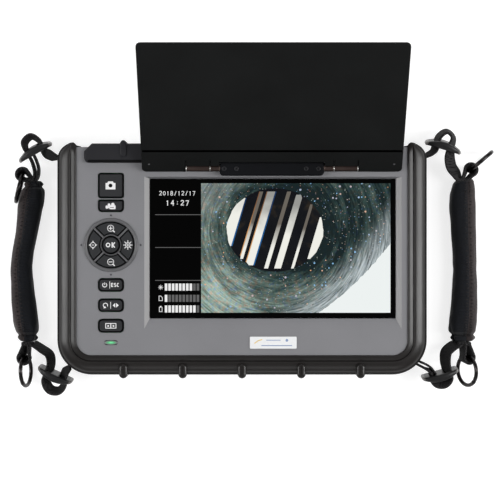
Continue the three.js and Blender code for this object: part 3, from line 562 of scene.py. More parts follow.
def make_bumper():
    section = bumper_section()
    rings = []
    for x, y, angle, share, height in bumper_stations():
        c, s = math.cos(angle), math.sin(angle)
        width = share * BUMPER_WIDTH
        keep = min(1.0, width / 5.0)
        stretch = (width - GROOVE_U * keep) / (BUMPER_WIDTH - GROOVE_U)
        # The ridge and groove run out into a plain rounded nose at each end.
        plain = min(1.0, max(0.0, (0.97 - share) / 0.3))
        ring = []
        for u, w in section:
            out = u * keep if u <= GROOVE_U else GROOVE_U * keep + (u - GROOVE_U) * stretch
            if 0.6 < u < 5.5 and w > 42:
                w += plain * (42.15 + 1.35 * math.sin(math.pi / 2 * (u - 0.6) / 4.9) - w)
            drop = 1 - (1 - height) * min(1.0, max(0.0, u - 1) / 8)
            ring.append((x + out * c, y + out * s, BUMPER_MID_Z + (w - BUMPER_MID_Z) * drop))
        rings.append(ring)
    verts, faces = skin(rings)
    body = piece("bumper_body", verts, faces, M["rubber"], "housing", ["bumper"], angle=42)
    cut(body, [box_cutter(-5.9, -2.2, LUG_Z - 7.5, 4, 2.2, LUG_Z + 7.5, turn, (x, y)) for x, y, turn in LUGS.values()])
    # A shallow relief round each top slot, so that the webbing clears the nose as the strap swings up.
    cut(body, [box_cutter(-3.2, -6.2, LUG_Z - 7.5, 6, 6.2, LUG_Z + 10.5, LUGS[corner][2], LUGS[corner][:2])
               for corner in ("left_top", "right_top")])
    # Steep faces get the darker, duller rubber: painted shade on the bumper's sides.
    tint(body, M["rubber_side_shade"], lambda polygon: polygon.normal.z < 0.6)
    for number, x in enumerate(RIB_X, 1):
        outline = rounded_rect(x - 2.8, -77.7, x + 2.8, -67.9, 2.79, 6)
        soft_piece(f"bumper_rib_{number}", outline, 0.1, 45.8, 1.6, M["rubber"], "housing", "bumper_rubber",
                   low_edge=1.2, steps=5)


make_bumper()


# ---------- shells and fixed trim ----------
def make_top_ribs():
    """Raised grip ribs across the top block, and a dark raised strip along its lower edge whose near-black colour is
    painted shade where the block's lower side falls into shadow.
    """
    for number, x in enumerate(RIB_X, 1):
        outline = rounded_rect(x - 2.5, 66.2, x + 2.5, 76.6, 2.4, 6)
        soft_piece(f"top_rib_{number}", outline, 44.6, 46.3, 1.3, M["top_rubber"], "housing", "bumper_rubber", steps=5)
    # The strip's outline; its dark colour is painted shade.
    bead = rounded_rect(-100.2, 62.75, 100.2, 64.5, 0.8, 4)
    soft_piece("top_shadow_strip", bead, 44.8, 45.75, 0.5, M["top_edge_shade"], "housing", "bumper_rubber")


def tint_recess():
    """The sloping sides of the display's recess get a smoother, lighter copy of the grey; the lighter colour is painted
    light where the slopes catch the side lamps.
    """
    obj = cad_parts["front_housing"]

    def sloping(polygon):
        x, y, z = (obj.matrix_world @ polygon.center) / MM
        return (-64.5 < x < -59 or 99 < x < 104.8) and -46.5 < y < 54.4 and 38 < z < 41.9

    tint(obj, M["recess"], sloping)


refine("front_housing", M["grey"], 0.35, 3)
tint_recess()
refine("rear_housing", M["black"], 0.3)
refine("battery_door", M["black"], 0.0)
refine("top_bumper", M["top_rubber"], 0.7, 3)
refine("port_cover", M["top_rubber"], 0.3)
make_top_ribs()
refine("display_window", M["glass"], 0.0)
refine("probe_socket", M["dark_steel"], 0.3)
for name in ("lid_panel", "lid_rail"):
    refine(name, M["lid"], 0.25)
refine("hinge_block", M["hinge"], 0.3)
for side in ("left", "right"):
    refine(f"lid_knuckle_{side}", M["knuckle"], 0.15)
    refine(f"hinge_pin_{side}", M["steel"], 0.0)
for name in ("main_board", "keypad_board"):
    refine(name, M["board"], 0.0)
refine("battery_pack", M["battery"], 0.4)
for name in ("lcd_panel", "data_socket", *(f"housing_screw_{i}" for i in range(1, 5)),
             *(f"strap_lug_{corner}" for corner in LUGS)):
    refine(name, M["steel"], 0.0)


# ---------- printed signs ----------
class Sign:
    """Flat signs raised by a hair from a surface: polygons, strokes, discs and rings at one height."""

    THICK = 0.08

    def __init__(self, z):
        self.z = z
        self.verts, self.faces = [], []

    def poly(self, points):
        base, count = len(self.verts), len(points)
        self.verts += [(x, y, self.z) for x, y in points]
        self.verts += [(x, y, self.z + self.THICK) for x, y in points]
        self.faces.append(tuple(base + count + i for i in range(count)))
        self.faces.append(tuple(base + i for i in reversed(range(count))))
        for i in range(count):
            j = (i + 1) % count
            self.faces.append((base + i, base + j, base + count + j, base + count + i))
        return self

    def rect(self, cx, cy, width, height):
        w, h = width / 2, height / 2
        return self.poly([(cx - w, cy - h), (cx + w, cy - h), (cx + w, cy + h), (cx - w, cy + h)])

    def stroke(self, points, width):
        for (ax, ay), (bx, by) in zip(points, points[1:]):
            length = math.hypot(bx - ax, by - ay)
            ux, uy = (bx - ax) / length * width / 2, (by - ay) / length * width / 2
            ax, ay, bx, by = ax - ux * 0.6, ay - uy * 0.6, bx + ux * 0.6, by + uy * 0.6
            self.poly([(ax + uy, ay - ux), (bx + uy, by - ux), (bx - uy, by + ux), (ax - uy, ay + ux)])
        return self

    def disc(self, cx, cy, r, steps=20):
        return self.poly(oval(cx, cy, r, r, steps))

    def ring(self, cx, cy, rx, width, start=0, end=360, ry=None):
        ry, steps = ry or rx, 24
        angles = [math.radians(start + (end - start) * i / steps) for i in range(steps + 1)]
        edges = [[(cx + (rx + s) * math.cos(a), cy + (ry + s) * math.sin(a)) for a in angles]
                 for s in (-width / 2, width / 2)]
        for i in range(steps):
            self.poly([edges[0][i], edges[1][i], edges[1][i + 1], edges[0][i + 1]])
        return self

    def make(self, name, material, body, slot):
        piece(name, self.verts, self.faces, material, body, angle=10)


def write(sign, text, cx, cy, height, width, pitch):
    """Plain stroked figures and letters, centred on a point."""
    half = height / 2
    w = height * 0.26
    x = cx - pitch * (len(text) - 1) / 2
    for letter in text:
        if letter in "0O":
            sign.ring(x, cy, w, width, ry=half - width / 2)
        elif letter == "1":
            sign.stroke([(x - w * 0.5, cy + half * 0.55), (x, cy + half - width / 2), (x, cy - half)], width)
        elif letter == "2":
            top = cy + half - w
            sign.ring(x, top, w, width, start=-10, end=170)
            sign.stroke([(x + w, top - 0.1), (x - w, cy - half + width / 2), (x + w, cy - half + width / 2)], width)
        elif letter == "4":
            sign.stroke([(x + w * 0.5, cy - half), (x + w * 0.5, cy + half), (x - w, cy - half * 0.3),
                         (x + w, cy - half * 0.3)], width)
        elif letter == "7":
            top = cy + half - width / 2
            sign.stroke([(x - w, top), (x + w, top), (x - w * 0.3, cy - half)], width)
        elif letter == "8":
            sign.ring(x, cy + half * 0.48, w * 0.9, width, ry=half * 0.46)
            sign.ring(x, cy - half * 0.48, w, width, ry=half * 0.5)
        elif letter == "/":
            sign.stroke([(x - w * 0.7, cy - half), (x + w * 0.7, cy + half)], width)
        elif letter == ":":
            sign.rect(x, cy + half * 0.45, width, width)
            sign.rect(x, cy - half * 0.45, width, width)
        elif letter == "K":
            sign.stroke([(x - w, cy - half), (x - w, cy + half)], width)
            sign.stroke([(x + w, cy + half), (x - w * 0.6, cy), (x + w, cy - half)], width)
        elif letter == "E":
            sign.stroke([(x + w, cy + half), (x - w, cy + half), (x - w, cy - half), (x + w, cy - half)], width)
            sign.stroke([(x - w, cy), (x + w * 0.7, cy)], width)
        elif letter == "S":
            sign.ring(x, cy + half * 0.5, w, width, start=40, end=270, ry=half * 0.5)
            sign.ring(x, cy - half * 0.5, w, width, start=-140, end=90, ry=half * 0.5)
        elif letter == "C":
            sign.ring(x, cy, w, width, start=50, end=310, ry=half)
        x += pitch


# ---------- keys ----------
KEY_HALF = 8.2
NAV_Y = 9.1
KEY_Z = 43.2
KEY_LOW_Z = 37.0
NAV_Z = 43.5
OK_SIGN_Z = 43.84
# Lower edge, upper edge and corner radius of each key in the column.
KEYS = {
    "snapshot_button": (39.8, 55.9, 1.5),
    "record_button": (30.8, 38.5, (2.3, 2.3, 1, 1)),
    "power_button": (-21.1, -12.7, 2.6),
    "rotate_button": (-34.3, -26, 2.6),
    "gallery_button": (-47.8, -39.2, 2.6),
}


def turned(profile):
    """Rings of a shape turned about the middle of the navigation keys, from radius and height."""
    return [[(x, y, z) for x, y in oval(KEY_X, NAV_Y, r, r, 48)] for r, z in profile]


def key_cap(name, outline, z1, edge=1.15):
    verts, faces = skin(soft_rings(outline, KEY_LOW_Z, z1, edge, steps=5))
    cap = piece(f"{name}_cap", verts, faces, M["key"], name, [name], angle=60)
    # The rounded sides get the near-black rubber: painted shade round the key's top.
    tint(cap, M["key_side_shade_and_ink"], lambda polygon: polygon.normal.z < 0.985)


def make_keys():
    for name, (y0, y1, r) in KEYS.items():
        key_cap(name, rounded_rect(KEY_X - KEY_HALF + 0.2, y0 + 0.1, KEY_X + KEY_HALF - 0.2, y1 - 0.1, r), KEY_Z)
    inner, outer, gap = 7.15, 15.0, 0.95
    wide, thin = (45 - math.degrees(math.asin(gap / r)) for r in (outer, inner))
    for i, name in enumerate(("right", "up", "left", "down")):
        turn = 90 * i
        outline = arc(KEY_X, NAV_Y, outer, turn - wide, turn + wide, 18)
        outline += arc(KEY_X, NAV_Y, inner, turn + thin, turn - thin, 10)
        key_cap(f"nav_{name}_button", outline, NAV_Z, edge=0.8)
    verts, faces = skin(turned([(0.5, 37.0), (5.85, 37.0), (5.85, 42.4), (5.75, 43.0), (5.4, 43.55), (4.9, 43.8),
                                (4.2, 43.86), (3.2, 43.8), (1.5, 43.72), (0.3, 43.7)]))
    cap = piece("ok_button_cap", verts, faces, M["key"], "ok_button", ["ok_button"], angle=60)
    # The rounded sides get the near-black rubber: painted shade round the key's top.
    tint(cap, M["key_side_shade_and_ink"], lambda polygon: polygon.normal.z < 0.9)


def make_nav_ring():
    """The bezel, the grey cross between the four keys and the collar round the middle one."""
    profile = [(15.25, 39.6), (15.25, 42.2), (15.45, 42.65), (15.9, 42.85), (16.6, 43.05), (17.3, 42.95), (17.6, 42.55),
               (17.62, 42.1), (17.0, 42.05), (16.2, 42.0), (16.2, 39.6)]
    steps, count = 72, len(profile)
    verts, faces = [], []
    for k in range(steps):
        c, s = math.cos(TAU * k / steps), math.sin(TAU * k / steps)
        verts += [(KEY_X + r * c, NAV_Y + r * s, z) for r, z in profile]
        for i in range(count):
            a, b = k * count + i, k * count + (i + 1) % count
            step = ((k + 1) % steps - k) * count
            faces.append((a, b, b + step, a + step))
    piece("nav_bezel", verts, faces, M["ring"], "housing", ["nav_ring"], angle=50)
    for i in range(4):
        a = math.pi / 4 + i * math.pi / 2
        c, s = math.cos(a), math.sin(a)
        outline = [(KEY_X + u * c - v * s, NAV_Y + u * s + v * c)
                   for u, v in ((6.9, -0.62), (15.3, -0.62), (15.3, 0.62), (6.9, 0.62))]
        soft_piece(f"nav_web_{i + 1}", outline, 36.8, 42.9, 0.25, M["ring"], "housing", "ring_plastic", steps=2)
    profile = [(6.12, 36.8), (6.12, 42.5), (6.3, 42.8), (6.8, 42.8), (7.0, 42.5), (7.0, 36.8)]
    verts, faces = skin(turned(profile), closed_ends=False)
    piece("nav_collar", verts, faces, M["ring"], "housing", angle=50)


def make_legends():
    """The white symbols on the keys, whose ink glows as painted light. OK and ESC are the plain words that such keys
    carry.
    """
    def stamp(sign, body):
        sign.make(f"legend_{body}", M["ink"], body, "label")

    def mark(x, y, *strokes, width):
        for points in strokes:
            sign.stroke([(x + dx, y + dy) for dx, dy in points], width)

    top = KEY_Z + 0.01
    x, y = KEY_X - 0.2, 47.6
    sign = Sign(top)
    sign.poly([(x + dx, y + dy) for dx, dy in ((-3.2, -2.3), (3.2, -2.3), (3.2, 1.9), (2.1, 1.9), (1.5, 2.9),
                                               (0.9, 2.9), (-0.9, 2.9), (-1.5, 2.9), (-2.1, 1.9), (-3.2, 1.9))])
    sign.make("legend_snapshot", M["ink"], "snapshot_button", "label")
    sign = Sign(top + Sign.THICK).disc(x, y + 0.2, 1.25)
    sign.make("legend_snapshot_lens", M["key_side_shade_and_ink"], "snapshot_button", "key_plastic")
    y = 34.0
    sign = Sign(top).poly(rounded_rect(x - 0.7, y - 1.6, x + 3.3, y + 1.0, 0.5, 3))
    sign.poly([(x + dx, y + dy) for dx, dy in ((-3.2, -0.9), (-2.6, -1.3), (-0.7, -0.8), (-0.7, 0.6), (-2.6, 0.9),
                                               (-3.2, 0.5))])
    sign.disc(x - 1.0, y + 1.35, 0.85).disc(x + 1.5, y + 1.5, 1.1)
    sign.make("legend_record", M["ink"], "record_button", "label")
    sign = Sign(top + Sign.THICK).rect(x + 0.9, y - 0.5, 2.5, 0.36)
    sign.make("legend_record_slot", M["key_side_shade_and_ink"], "record_button", "key_plastic")

    nav_top = NAV_Z + 0.01
    for body, y, plus in (("nav_up_button", 20.0, True), ("nav_down_button", -1.9, False)):
        x = KEY_X - 0.1
        sign = Sign(nav_top).ring(x, y, 2.0, 0.36)
        mark(x, y, [(1.5, -1.5), (2.5, -2.4)], width=0.7)
        mark(x, y, [(-1.15, 0), (1.15, 0)], *[[(0, -1.15), (0, 1.15)]] * plus, width=0.48)
        stamp(sign, body)
    x, y = -97.0, NAV_Y
    sign = Sign(nav_top).ring(x, y, 1.65, 0.36)
    for dx, dy in ((1, 0), (-1, 0), (0, 1), (0, -1)):
        sign.poly([(x + dx * 2.9, y + dy * 2.9), (x + dx * 1.8 - dy * 0.5, y + dy * 1.8 + dx * 0.5),
                   (x + dx * 1.8 + dy * 0.5, y + dy * 1.8 - dx * 0.5)])
    mark(x, y, [(-0.7, 0), (0.7, 0)], width=0.36)
    stamp(sign, "nav_left_button")
    x = -74.3
    sign = Sign(nav_top).ring(x, y, 1.5, 0.42)
    mark(x, y, [(-0.95, 0), (0.95, 0)], [(0, -0.95), (0, 0.95)], width=0.4)
    for c, d in oval(0, 0, 1, 1, 8):
        mark(x, y, [(1.9 * c, 1.9 * d), (2.9 * c, 2.9 * d)], width=0.46)
    stamp(sign, "nav_right_button")
    sign = Sign(OK_SIGN_Z).ring(KEY_X - 1.75, NAV_Y, 1.15, 0.7, ry=1.15)
    write(sign, "K", KEY_X + 1.7, NAV_Y, 3.0, 0.75, 1)
    stamp(sign, "ok_button")

    x, y = -89.4, -16.9
    sign = Sign(top).ring(x, y, 1.35, 0.48, start=125, end=415)
    mark(x, y, [(0, 0.1), (0, 1.5)], width=0.42)
    mark(-86.1, y, [(0, -2.2), (0, 2.2)], width=0.36)
    write(sign, "ESC", -82.6, y, 2.1, 0.5, 1.9)
    stamp(sign, "power_button")
    x, y = -88.9, -30.15
    sign = Sign(top).ring(x, y, 1.4, 0.5, start=-30, end=250)
    sign.poly([(x - 1.4, y - 2.0), (x + 0.5, y - 1.7), (x - 0.3, y - 0.5)])
    mark(-85.5, y, [(0, -2.1), (0, 2.1)], width=0.36)
    x = -82.3
    sign.poly([(x - 0.25, y - 1.5), (x - 0.25, y + 1.5), (x - 1.9, y)])
    sign.poly([(x + 0.35, y - 1.5), (x + 2.1, y), (x + 0.35, y + 1.5)])
    stamp(sign, "rotate_button")
    y = -43.5
    sign = Sign(top)
    for x in (-87.1, -83.7):
        mark(x, y, [(-1.65, -1.5), (1.65, -1.5), (1.65, 1.5), (-1.65, 1.5), (-1.65, -1.5)], width=0.5)
        sign.disc(x, y - 0.1, 0.6, 10)
    stamp(sign, "gallery_button")

    sign = Sign(FACE_Z + 0.01)
    for c, d in ((1, 0), (0, 1), (-1, 0), (0, -1)):
        x, y = KEY_X + 19.4 * c, NAV_Y + 19.4 * d
        sign.poly([(x + 0.9 * c, y + 0.9 * d), (x - 0.6 * c - 0.9 * d, y - 0.6 * d + 0.9 * c),
                   (x - 0.6 * c + 0.9 * d, y - 0.6 * d - 0.9 * c)])
    sign.make("direction_marks", M["mark"], "housing", "label")


make_keys()
make_nav_ring()
make_legends()


# ---------- display ----------
GLASS_Z = 39.7
SCREEN = (-26.7, -35.1, 96.9, 49.4)
# The opening in the picture: its middle, half width and half height.
HOLE = (21.5, 18.9, 31.5, 27.2)
# Where the bore's far rim ends, from the middle of its round, in metres.
FAR_RIM = 0.2103
STRIPE_LEAN = 0.3
STRIPE_Y = 20.9
# Left and right edge of each pale stripe on the line y = STRIPE_Y, and how far up it stays bright (0 to 1).
STRIPES = [(-20.0, -3.3, 1.0), (4.8, 6.9, 0.55), (9.7, 14.9, 0.9), (22.5, 25.1, 0.5), (29.1, 33.5, 0.85),
           (40.1, 42.0, 0.45), (48.9, 70.0, 1.0)]


def lit_screen(g, tone):
    """The panel's own surface: almost black, and lit from behind."""
    return g.set(Base_Color=(0.005, 0.005, 0.005, 1), Roughness=0.25, Emission_Color=tone, Emission_Strength=1.0,
                 Specular_IOR_Level=0.06)


def bore_picture():
    """A lit camera picture of a machined bore: glinting turned metal round an opening, white light at one corner."""
    g = Graph("bore_picture")
    flat = g.add("ShaderNodeMapping", Vector=g.coords, Location=(-HOLE[0] * MM, -HOLE[1] * MM, 0)).outputs[0]
    split = g.add("ShaderNodeSeparateXYZ", Vector=flat).outputs
    radius = g.length(split[0], split[1])
    cosine, sine = g.math("DIVIDE", split[0], radius), g.math("DIVIDE", split[1], radius)

    def rounds(along, across):
        return g.add("ShaderNodeCombineXYZ", X=g.math("MULTIPLY", radius, along), Y=g.math("MULTIPLY", cosine, across),
                     Z=g.math("MULTIPLY", sine, across)).outputs[0]

    def dots(scale):
        """Distance to the nearest of many scattered points, and three random values of that point."""
        cells = g.add("ShaderNodeTexVoronoi", Vector=g.coords, Scale=scale).outputs
        return cells["Distance"], g.add("ShaderNodeSeparateColor", Color=cells["Color"]).outputs

    broad = g.noise(1.0, 3.0, vector=rounds(240.0, 2.2))
    lines = g.noise(1.0, 3.0, 0.6, vector=rounds(1100.0, 5.0))
    # Brighter to the upper left and the bottom, darker just round the opening.
    left = g.clamp(g.math("MULTIPLY", split[0], -2.4), -0.07, 0.07)
    low = g.clamp(g.math("MULTIPLY_ADD", split[1], -9.0, -0.19), 0.0, 0.09)
    shade = g.ramp(radius, [(0.027, (0.14, 0.14, 0.14)), (0.042, (0.0, 0.0, 0.0))])
    tone = g.total(g.math("MULTIPLY", broad, 0.42), g.math("MULTIPLY", lines, 0.34),
                   g.math("MULTIPLY", g.noise(42.0, 3.0), 0.3), g.math("MULTIPLY", g.noise(700.0, 2.0), 0.1), left, low)
    metal_tone = g.ramp(g.math("SUBTRACT", tone, shade), [
        (0.44, srgb(14, 30, 32)), (0.56, srgb(52, 68, 66)), (0.68, srgb(103, 112, 106)), (0.86, srgb(184, 194, 184))])
    tint_tone = g.ramp(g.noise(380.0, 3.0), [
        (0.32, (0.55, 0.75, 1.5)), (0.46, (0.75, 1.15, 1.0)), (0.56, (1.0, 1.0, 0.95)), (0.68, (1.6, 0.95, 0.7))])
    picture = g.mix(0.6, metal_tone, g.mix(1.0, metal_tone, tint_tone, "MULTIPLY"))
    near, cell = dots(420.0)
    spark = g.math("MULTIPLY", g.math("LESS_THAN", near, g.math("MULTIPLY_ADD", cell[1], 0.2, 0.1)),
                   g.math("GREATER_THAN", cell[0], 0.8))
    spark_tone = g.ramp(cell[2], [(0.2, srgb(255, 250, 240)), (0.5, srgb(230, 170, 120)), (0.8, srgb(130, 180, 220))])
    picture = g.mix(spark, picture, spark_tone)
    near, cell = dots(1100.0)
    speck = g.math("MULTIPLY", g.math("GREATER_THAN", cell[0], 0.84), g.math("LESS_THAN", near, 0.3))
    dust_tone = g.ramp(cell[1], [(0.3, srgb(180, 190, 180)), (0.55, srgb(176, 126, 96)), (0.8, srgb(92, 130, 170))])
    picture = g.mix(g.math("MULTIPLY", speck, 0.75), picture, dust_tone)
    # The lit space beyond the bore's far rim, then a haze towards the upper left.
    reach = g.length(g.math("SUBTRACT", split[0], -91.8 * MM), g.math("SUBTRACT", split[1], 117.2 * MM))
    reach = g.total(reach, g.math("MULTIPLY", g.noise(300.0, 3.0), 0.002))
    rim = g.ramp(reach, [(0.0, (0, 0, 0)), (0.194, (0, 0, 0)), (0.206, (0.9, 0.9, 0.9)), (FAR_RIM, (1, 1, 1))])
    rim = g.math("MULTIPLY", rim, g.math("MULTIPLY_ADD", lines, 2.4, -0.7))
    picture = g.mix(g.clamp(rim, 0.0, 1.0), picture, srgb(206, 216, 220))
    picture = g.mix(g.math("GREATER_THAN", reach, FAR_RIM), picture, srgb(236, 241, 240))
    haze = g.math("MULTIPLY_ADD", g.math("SUBTRACT", split[1], split[0]), 9.0, -0.42)
    haze = g.math("MULTIPLY", g.clamp(haze, 0.0, 0.5), broad)
    return lit_screen(g, g.mix(haze, picture, srgb(232, 236, 238)))


def stripe_picture(name, low, high, y_low, y_high):
    """A lit stripe that dims and browns towards its upper end."""
    g = Graph(name)
    y = g.add("ShaderNodeSeparateXYZ", Vector=g.coords).outputs[1]
    along = g.add("ShaderNodeMapRange", Value=y, From_Min=y_low * MM, From_Max=y_high * MM).outputs[0]
    blotch = g.math("MULTIPLY_ADD", g.noise(130.0, 3.0), 0.3, along)
    return lit_screen(g, g.ramp(blotch, [(0.1, low), (0.55, low), (0.95, high)]))


def dark_picture():
    """The dark bars seen through the bore's opening, with brown and blue fringes."""
    g = Graph("bar_picture")
    tones = [(0.35, srgb(0, 2, 10)), (0.58, srgb(7, 10, 16)), (0.74, srgb(44, 36, 26))]
    return lit_screen(g, g.ramp(g.noise(75.0, 4.0), tones))


def screen_sheet(name, outline, z, material):
    Sign(z).poly(outline).make(name, material, "housing", "display")


def wobble(y):
    """How far the opening's rough edge strays sideways."""
    return 0.25 * math.sin(y * 0.5) + 0.12 * math.sin(y * 1.7 + 1)


def stripe_outline(left, right):
    """A stripe's outline, cut off where it leaves the opening."""
    cx, cy, rx, ry = HOLE
    steps = 26
    left_side, right_side = [], []
    for i in range(steps + 1):
        y = cy - ry + 2 * ry * i / steps
        half = rx * math.sqrt(max(0.0, 1 - ((y - cy) / ry) ** 2))
        a = max(left + STRIPE_LEAN * (y - STRIPE_Y), cx - half + wobble(y))
        b = min(right + STRIPE_LEAN * (y - STRIPE_Y), cx + half + wobble(y))
        if b - a > 0.05:
            left_side.append((a, y))
            right_side.append((b, y))
    return right_side + left_side[::-1]


def make_display():
    x0, y0, x1, y1 = SCREEN
    z = GLASS_Z + 0.01
    screen_sheet("display_picture", [(x0, y0), (x1, y0), (x1, y1), (x0, y1)], z, bore_picture())
    cx, cy, rx, ry = HOLE
    rim = [(x + wobble(y), y) for x, y in oval(cx, cy, rx, ry, 72)]
    screen_sheet("picture_opening", rim, z + 0.05, dark_picture())
    for number, (left, right, bright) in enumerate(STRIPES, 1):
        top = cy + ry * (2 * bright - 1) if bright < 1 else cy + ry * 2.2
        faded = srgb(150, 150, 146) if bright > 0.8 else srgb(104, 98, 90)
        material = stripe_picture(f"stripe_{number}", srgb(238, 238, 230), faded, cy - ry, top + ry * 0.4)
        screen_sheet(f"picture_stripe_{number}", stripe_outline(left, right), z + 0.1, material)
    for tone, low, high, near, far, side, fringed in (
            ("blue", srgb(24, 92, 150), srgb(18, 50, 90), -0.15, 0.75, 1, (0, 2)),
            ("warm", srgb(214, 160, 104), srgb(120, 84, 58), -0.5, 0.1, 0, (1, 2))):
        material = stripe_picture(f"stripe_fringe_{tone}", low, high, cy - ry, cy + ry)
        for number, index in enumerate(fringed, 1):
            x = STRIPES[index][side]
            screen_sheet(f"picture_fringe_{tone}_{number}", stripe_outline(x + near, x + far), z + 0.12, material)
    make_readout(z)


def make_readout(z):
    """Date and time, two rules, three level bars with their symbols: sun, card and battery."""
    bright, dim = Sign(z), Sign(z)
    write(bright, "2018/12/17", -42.3, 42.9, 2.7, 0.36, 2.42)
    write(bright, "14:27", -42.2, 36.6, 3.3, 0.5, 3.2)
    for y in (28.9, 7.5, -14.0):
        dim.rect(-41.7, y, 30.0, 0.42)
    for y, lit in ((-18.35, 8), (-25.7, 1), (-32.65, 9)):
        for i in range(10):
            (bright if i < lit else dim).rect(-49.6 + 2.31 * i, y, 1.66, 4.6)
    x, y = -53.1, -18.5
    for i in range(4):
        c, s = 1.5 * math.cos(math.pi * i / 4), 1.5 * math.sin(math.pi * i / 4)
        bright.stroke([(x - c, y - s), (x + c, y + s)], 0.28)
    bright.disc(x, y, 0.45, 12)
    for outline in ([(-54.2, -27.2), (-52.0, -27.2), (-52.0, -25.4), (-53.0, -24.2), (-54.2, -24.2)],
                    [(-54.0, -34.4), (-52.2, -34.4), (-52.2, -31.5), (-54.0, -31.5)]):
        bright.stroke([*outline, outline[0]], 0.36)
    bright.rect(-53.1, -31.0, 1.0, 0.6)
    bright.make("readout_bright", M["lit"], "housing", "display")
    dim.make("readout_dim", M["lit_dim"], "housing", "display")


# ---------- status light and name plate ----------
PLATE_Z = 42.75
PLATE_SIGN_Z = 42.76


def make_trim():
    """The status light's lens and the small plate, with plain strokes that spell nothing."""
    soft_piece("status_lens", oval(KEY_X, LED_Y, 4.4, 1.35, 40), 42.02, 42.22, 0.12, M["led"], "housing", "led",
               ["status_led"], crown=0.1, steps=3)
    plate = rounded_rect(5.1, -58.4, 35.6, -50.6, 0.6, 4)
    soft_piece("name_plate", plate, FACE_Z + 0.02, PLATE_Z, 0.12, M["plate"], "housing", "label", ["name_label"],
               steps=2)
    blue = Sign(PLATE_SIGN_Z).rect(22.6, -56.4, 20.0, 0.55).rect(20.4, -52.9, 9.4, 0.5).disc(29.2, -53.0, 0.9, 14)
    blue.make("plate_blue_bars", M["plate_blue"], "housing", "label")
    warm = Sign(PLATE_SIGN_Z).stroke([(8.2, -54.9), (10.4, -53.3), (13.0, -52.5)], 0.7)
    warm.make("plate_warm_bar", M["plate_warm"], "housing", "label")


make_display()
make_trim()


# ---------- straps ----------
RING_Z = 11.3
RING_R = 9.8
TUBE_R = 1.3
WEB_WIDTH = 11.6
PAD_Z = 8.2
PAD_HALF_Z = 7.7

# Pads: x, y and width along the sleeve. Routes: x, y, z of the band's middle and how far it leans over, in degrees.
# Buckles: x, y, turn, which way they bow, lean. Loops: where a ring is held, and the sewn end. Tacks: the sewn fold.
STRAPS = {
    "left": {
        "pad": [(-139.9, 51.5, 10.5), (-140.3, 46, 14.5), (-141.3, 38.5, 16.8), (-142.5, 30, 15.8), (-144.2, 18, 14.4),
                (-146.8, 3.8, 13.9), (-147.8, -6.5, 14.2), (-147.2, -18, 15), (-146.3, -29, 16), (-145, -41, 16.5),
                (-144.1, -48.5, 14.6), (-143.6, -54.5, 11.5)],
        "seam": 106, "gathered": (True, True), "slope": 0.0,
        "top": {
            "route": [(-121, 66.9, 20, 16), (-126, 68.4, 19, 30), (-130.6, 70.4, 17.2, 28), (-133.4, 74.1, 16, 18),
                      (-135.4, 78.6, 15.9, 14), (-140.6, 81.4, 15.8, 14), (-144.7, 77.6, 15.9, 14),
                      (-144.2, 73.2, 16, 8), (-142.2, 69.2, 15.8, 0), (-139.7, 63.5, 13.8, 0), (-138.5, 58, 12, 0),
                      (-138.9, 53, 10.6, 0)],
            "tail": [(-139.2, 70.0, 15.5, 0), (-137.2, 65.5, 14.5, 0), (-135.9, 60.5, 12.8, 0), (-136.2, 56, 11.4, 0),
                     (-137.4, 52.5, 10.4, 0)],
            "buckle": (-137.7, 71.3, 29, 1, 10),
            "loop": {"rod": (-146.4, 57.2), "pull": (-0.24, -0.97), "sewn": (-141.6, 53.2), "lean": 4},
            "tack": (-144, 52.2, -137.8, 53.8),
        },
        "bottom": {
            "route": [(-139.8, -56.2, 10.6, 16), (-134, -59.9, 12, 20), (-128.6, -64, 14, 22),
                      (-127.3, -69.5, 15.6, 20), (-128.4, -74.9, 16, 20), (-130.6, -81.4, 16, 22),
                      (-127.6, -87, 16, 24), (-122.2, -87.8, 16, 22), (-118.8, -84, 16, 20), (-119.4, -79.2, 16, 22),
                      (-117.6, -75.6, 18, 33), (-114, -71.8, 20, 33)],
            "buckle": (-124.2, -76.9, -24.5, -1, 7),
            "loop": {"rod": (-144.8, -65.2), "pull": (0.02, -1), "sewn": (-143.6, -57.2), "lean": -14},
            "tack": (-147, -57.6, -138.8, -55.9),
        },
    },
    "right": {
        "pad": [(148.2, 53, 13.2), (147.8, 46.5, 15.6), (147.5, 37.5, 17.2), (148, 21, 16.4), (148.8, 0, 15.2),
                (149, -9, 15.3), (148.8, -24, 16.6), (148.3, -37, 17.9), (147.6, -47, 18), (148, -54.5, 15)],
        "seam": 74, "gathered": (False, True), "slope": 0.14,
        "top": {
            "route": [(121, 67.5, 20, 18), (125, 70, 19, 19), (127.6, 72.8, 17.2, 17), (128.9, 76.2, 16, 14),
                      (131.3, 81.8, 15.9, 15), (136.4, 84.8, 15.8, 16), (140.5, 80.8, 15.9, 18), (138.9, 73.6, 16, 26),
                      (138.2, 67.5, 15, 38), (139.6, 61.5, 13.2, 42), (143.2, 56.6, 11.6, 36), (145.5, 52.8, 10.6, 22)],
            "buckle": (133.6, 74.6, -16.6, 1, 10),
            "loop": {"rod": (151.8, 58.6), "pull": (0.76, 0.65), "sewn": (148.3, 52.8), "lean": 2},
            "tack": (143.9, 51.9, 151, 53.5),
        },
        "bottom": {
            "route": [(144.8, -56.2, 10.6, -22), (140.2, -58.4, 12, -28), (136.2, -62.3, 14, -32),
                      (135.3, -68, 15.6, -28), (136.3, -74.9, 16, -24), (136.6, -79.6, 16, -34),
                      (134.0, -82.4, 16, -36), (129.8, -82.2, 16, -34), (127.2, -79.6, 16, -26),
                      (126.2, -76.4, 16, -14), (122, -73.2, 18, 0), (115.6, -69.7, 20, 0)],
            "tail": [(127.6, -75.2, 15.5, 0), (124.8, -71.9, 17.0, 0), (121.0, -69.6, 18.4, 0),
                     (117.6, -68.2, 19.6, 0)],
            "buckle": (131.4, -76.5, 15, -1, 7),
            "loop": {"rod": (149.6, -64.9), "pull": (0.06, -1), "sewn": (149, -57.2), "lean": 32},
            "tack": (144, -57.6, 152.4, -55.9),
        },
    },
}


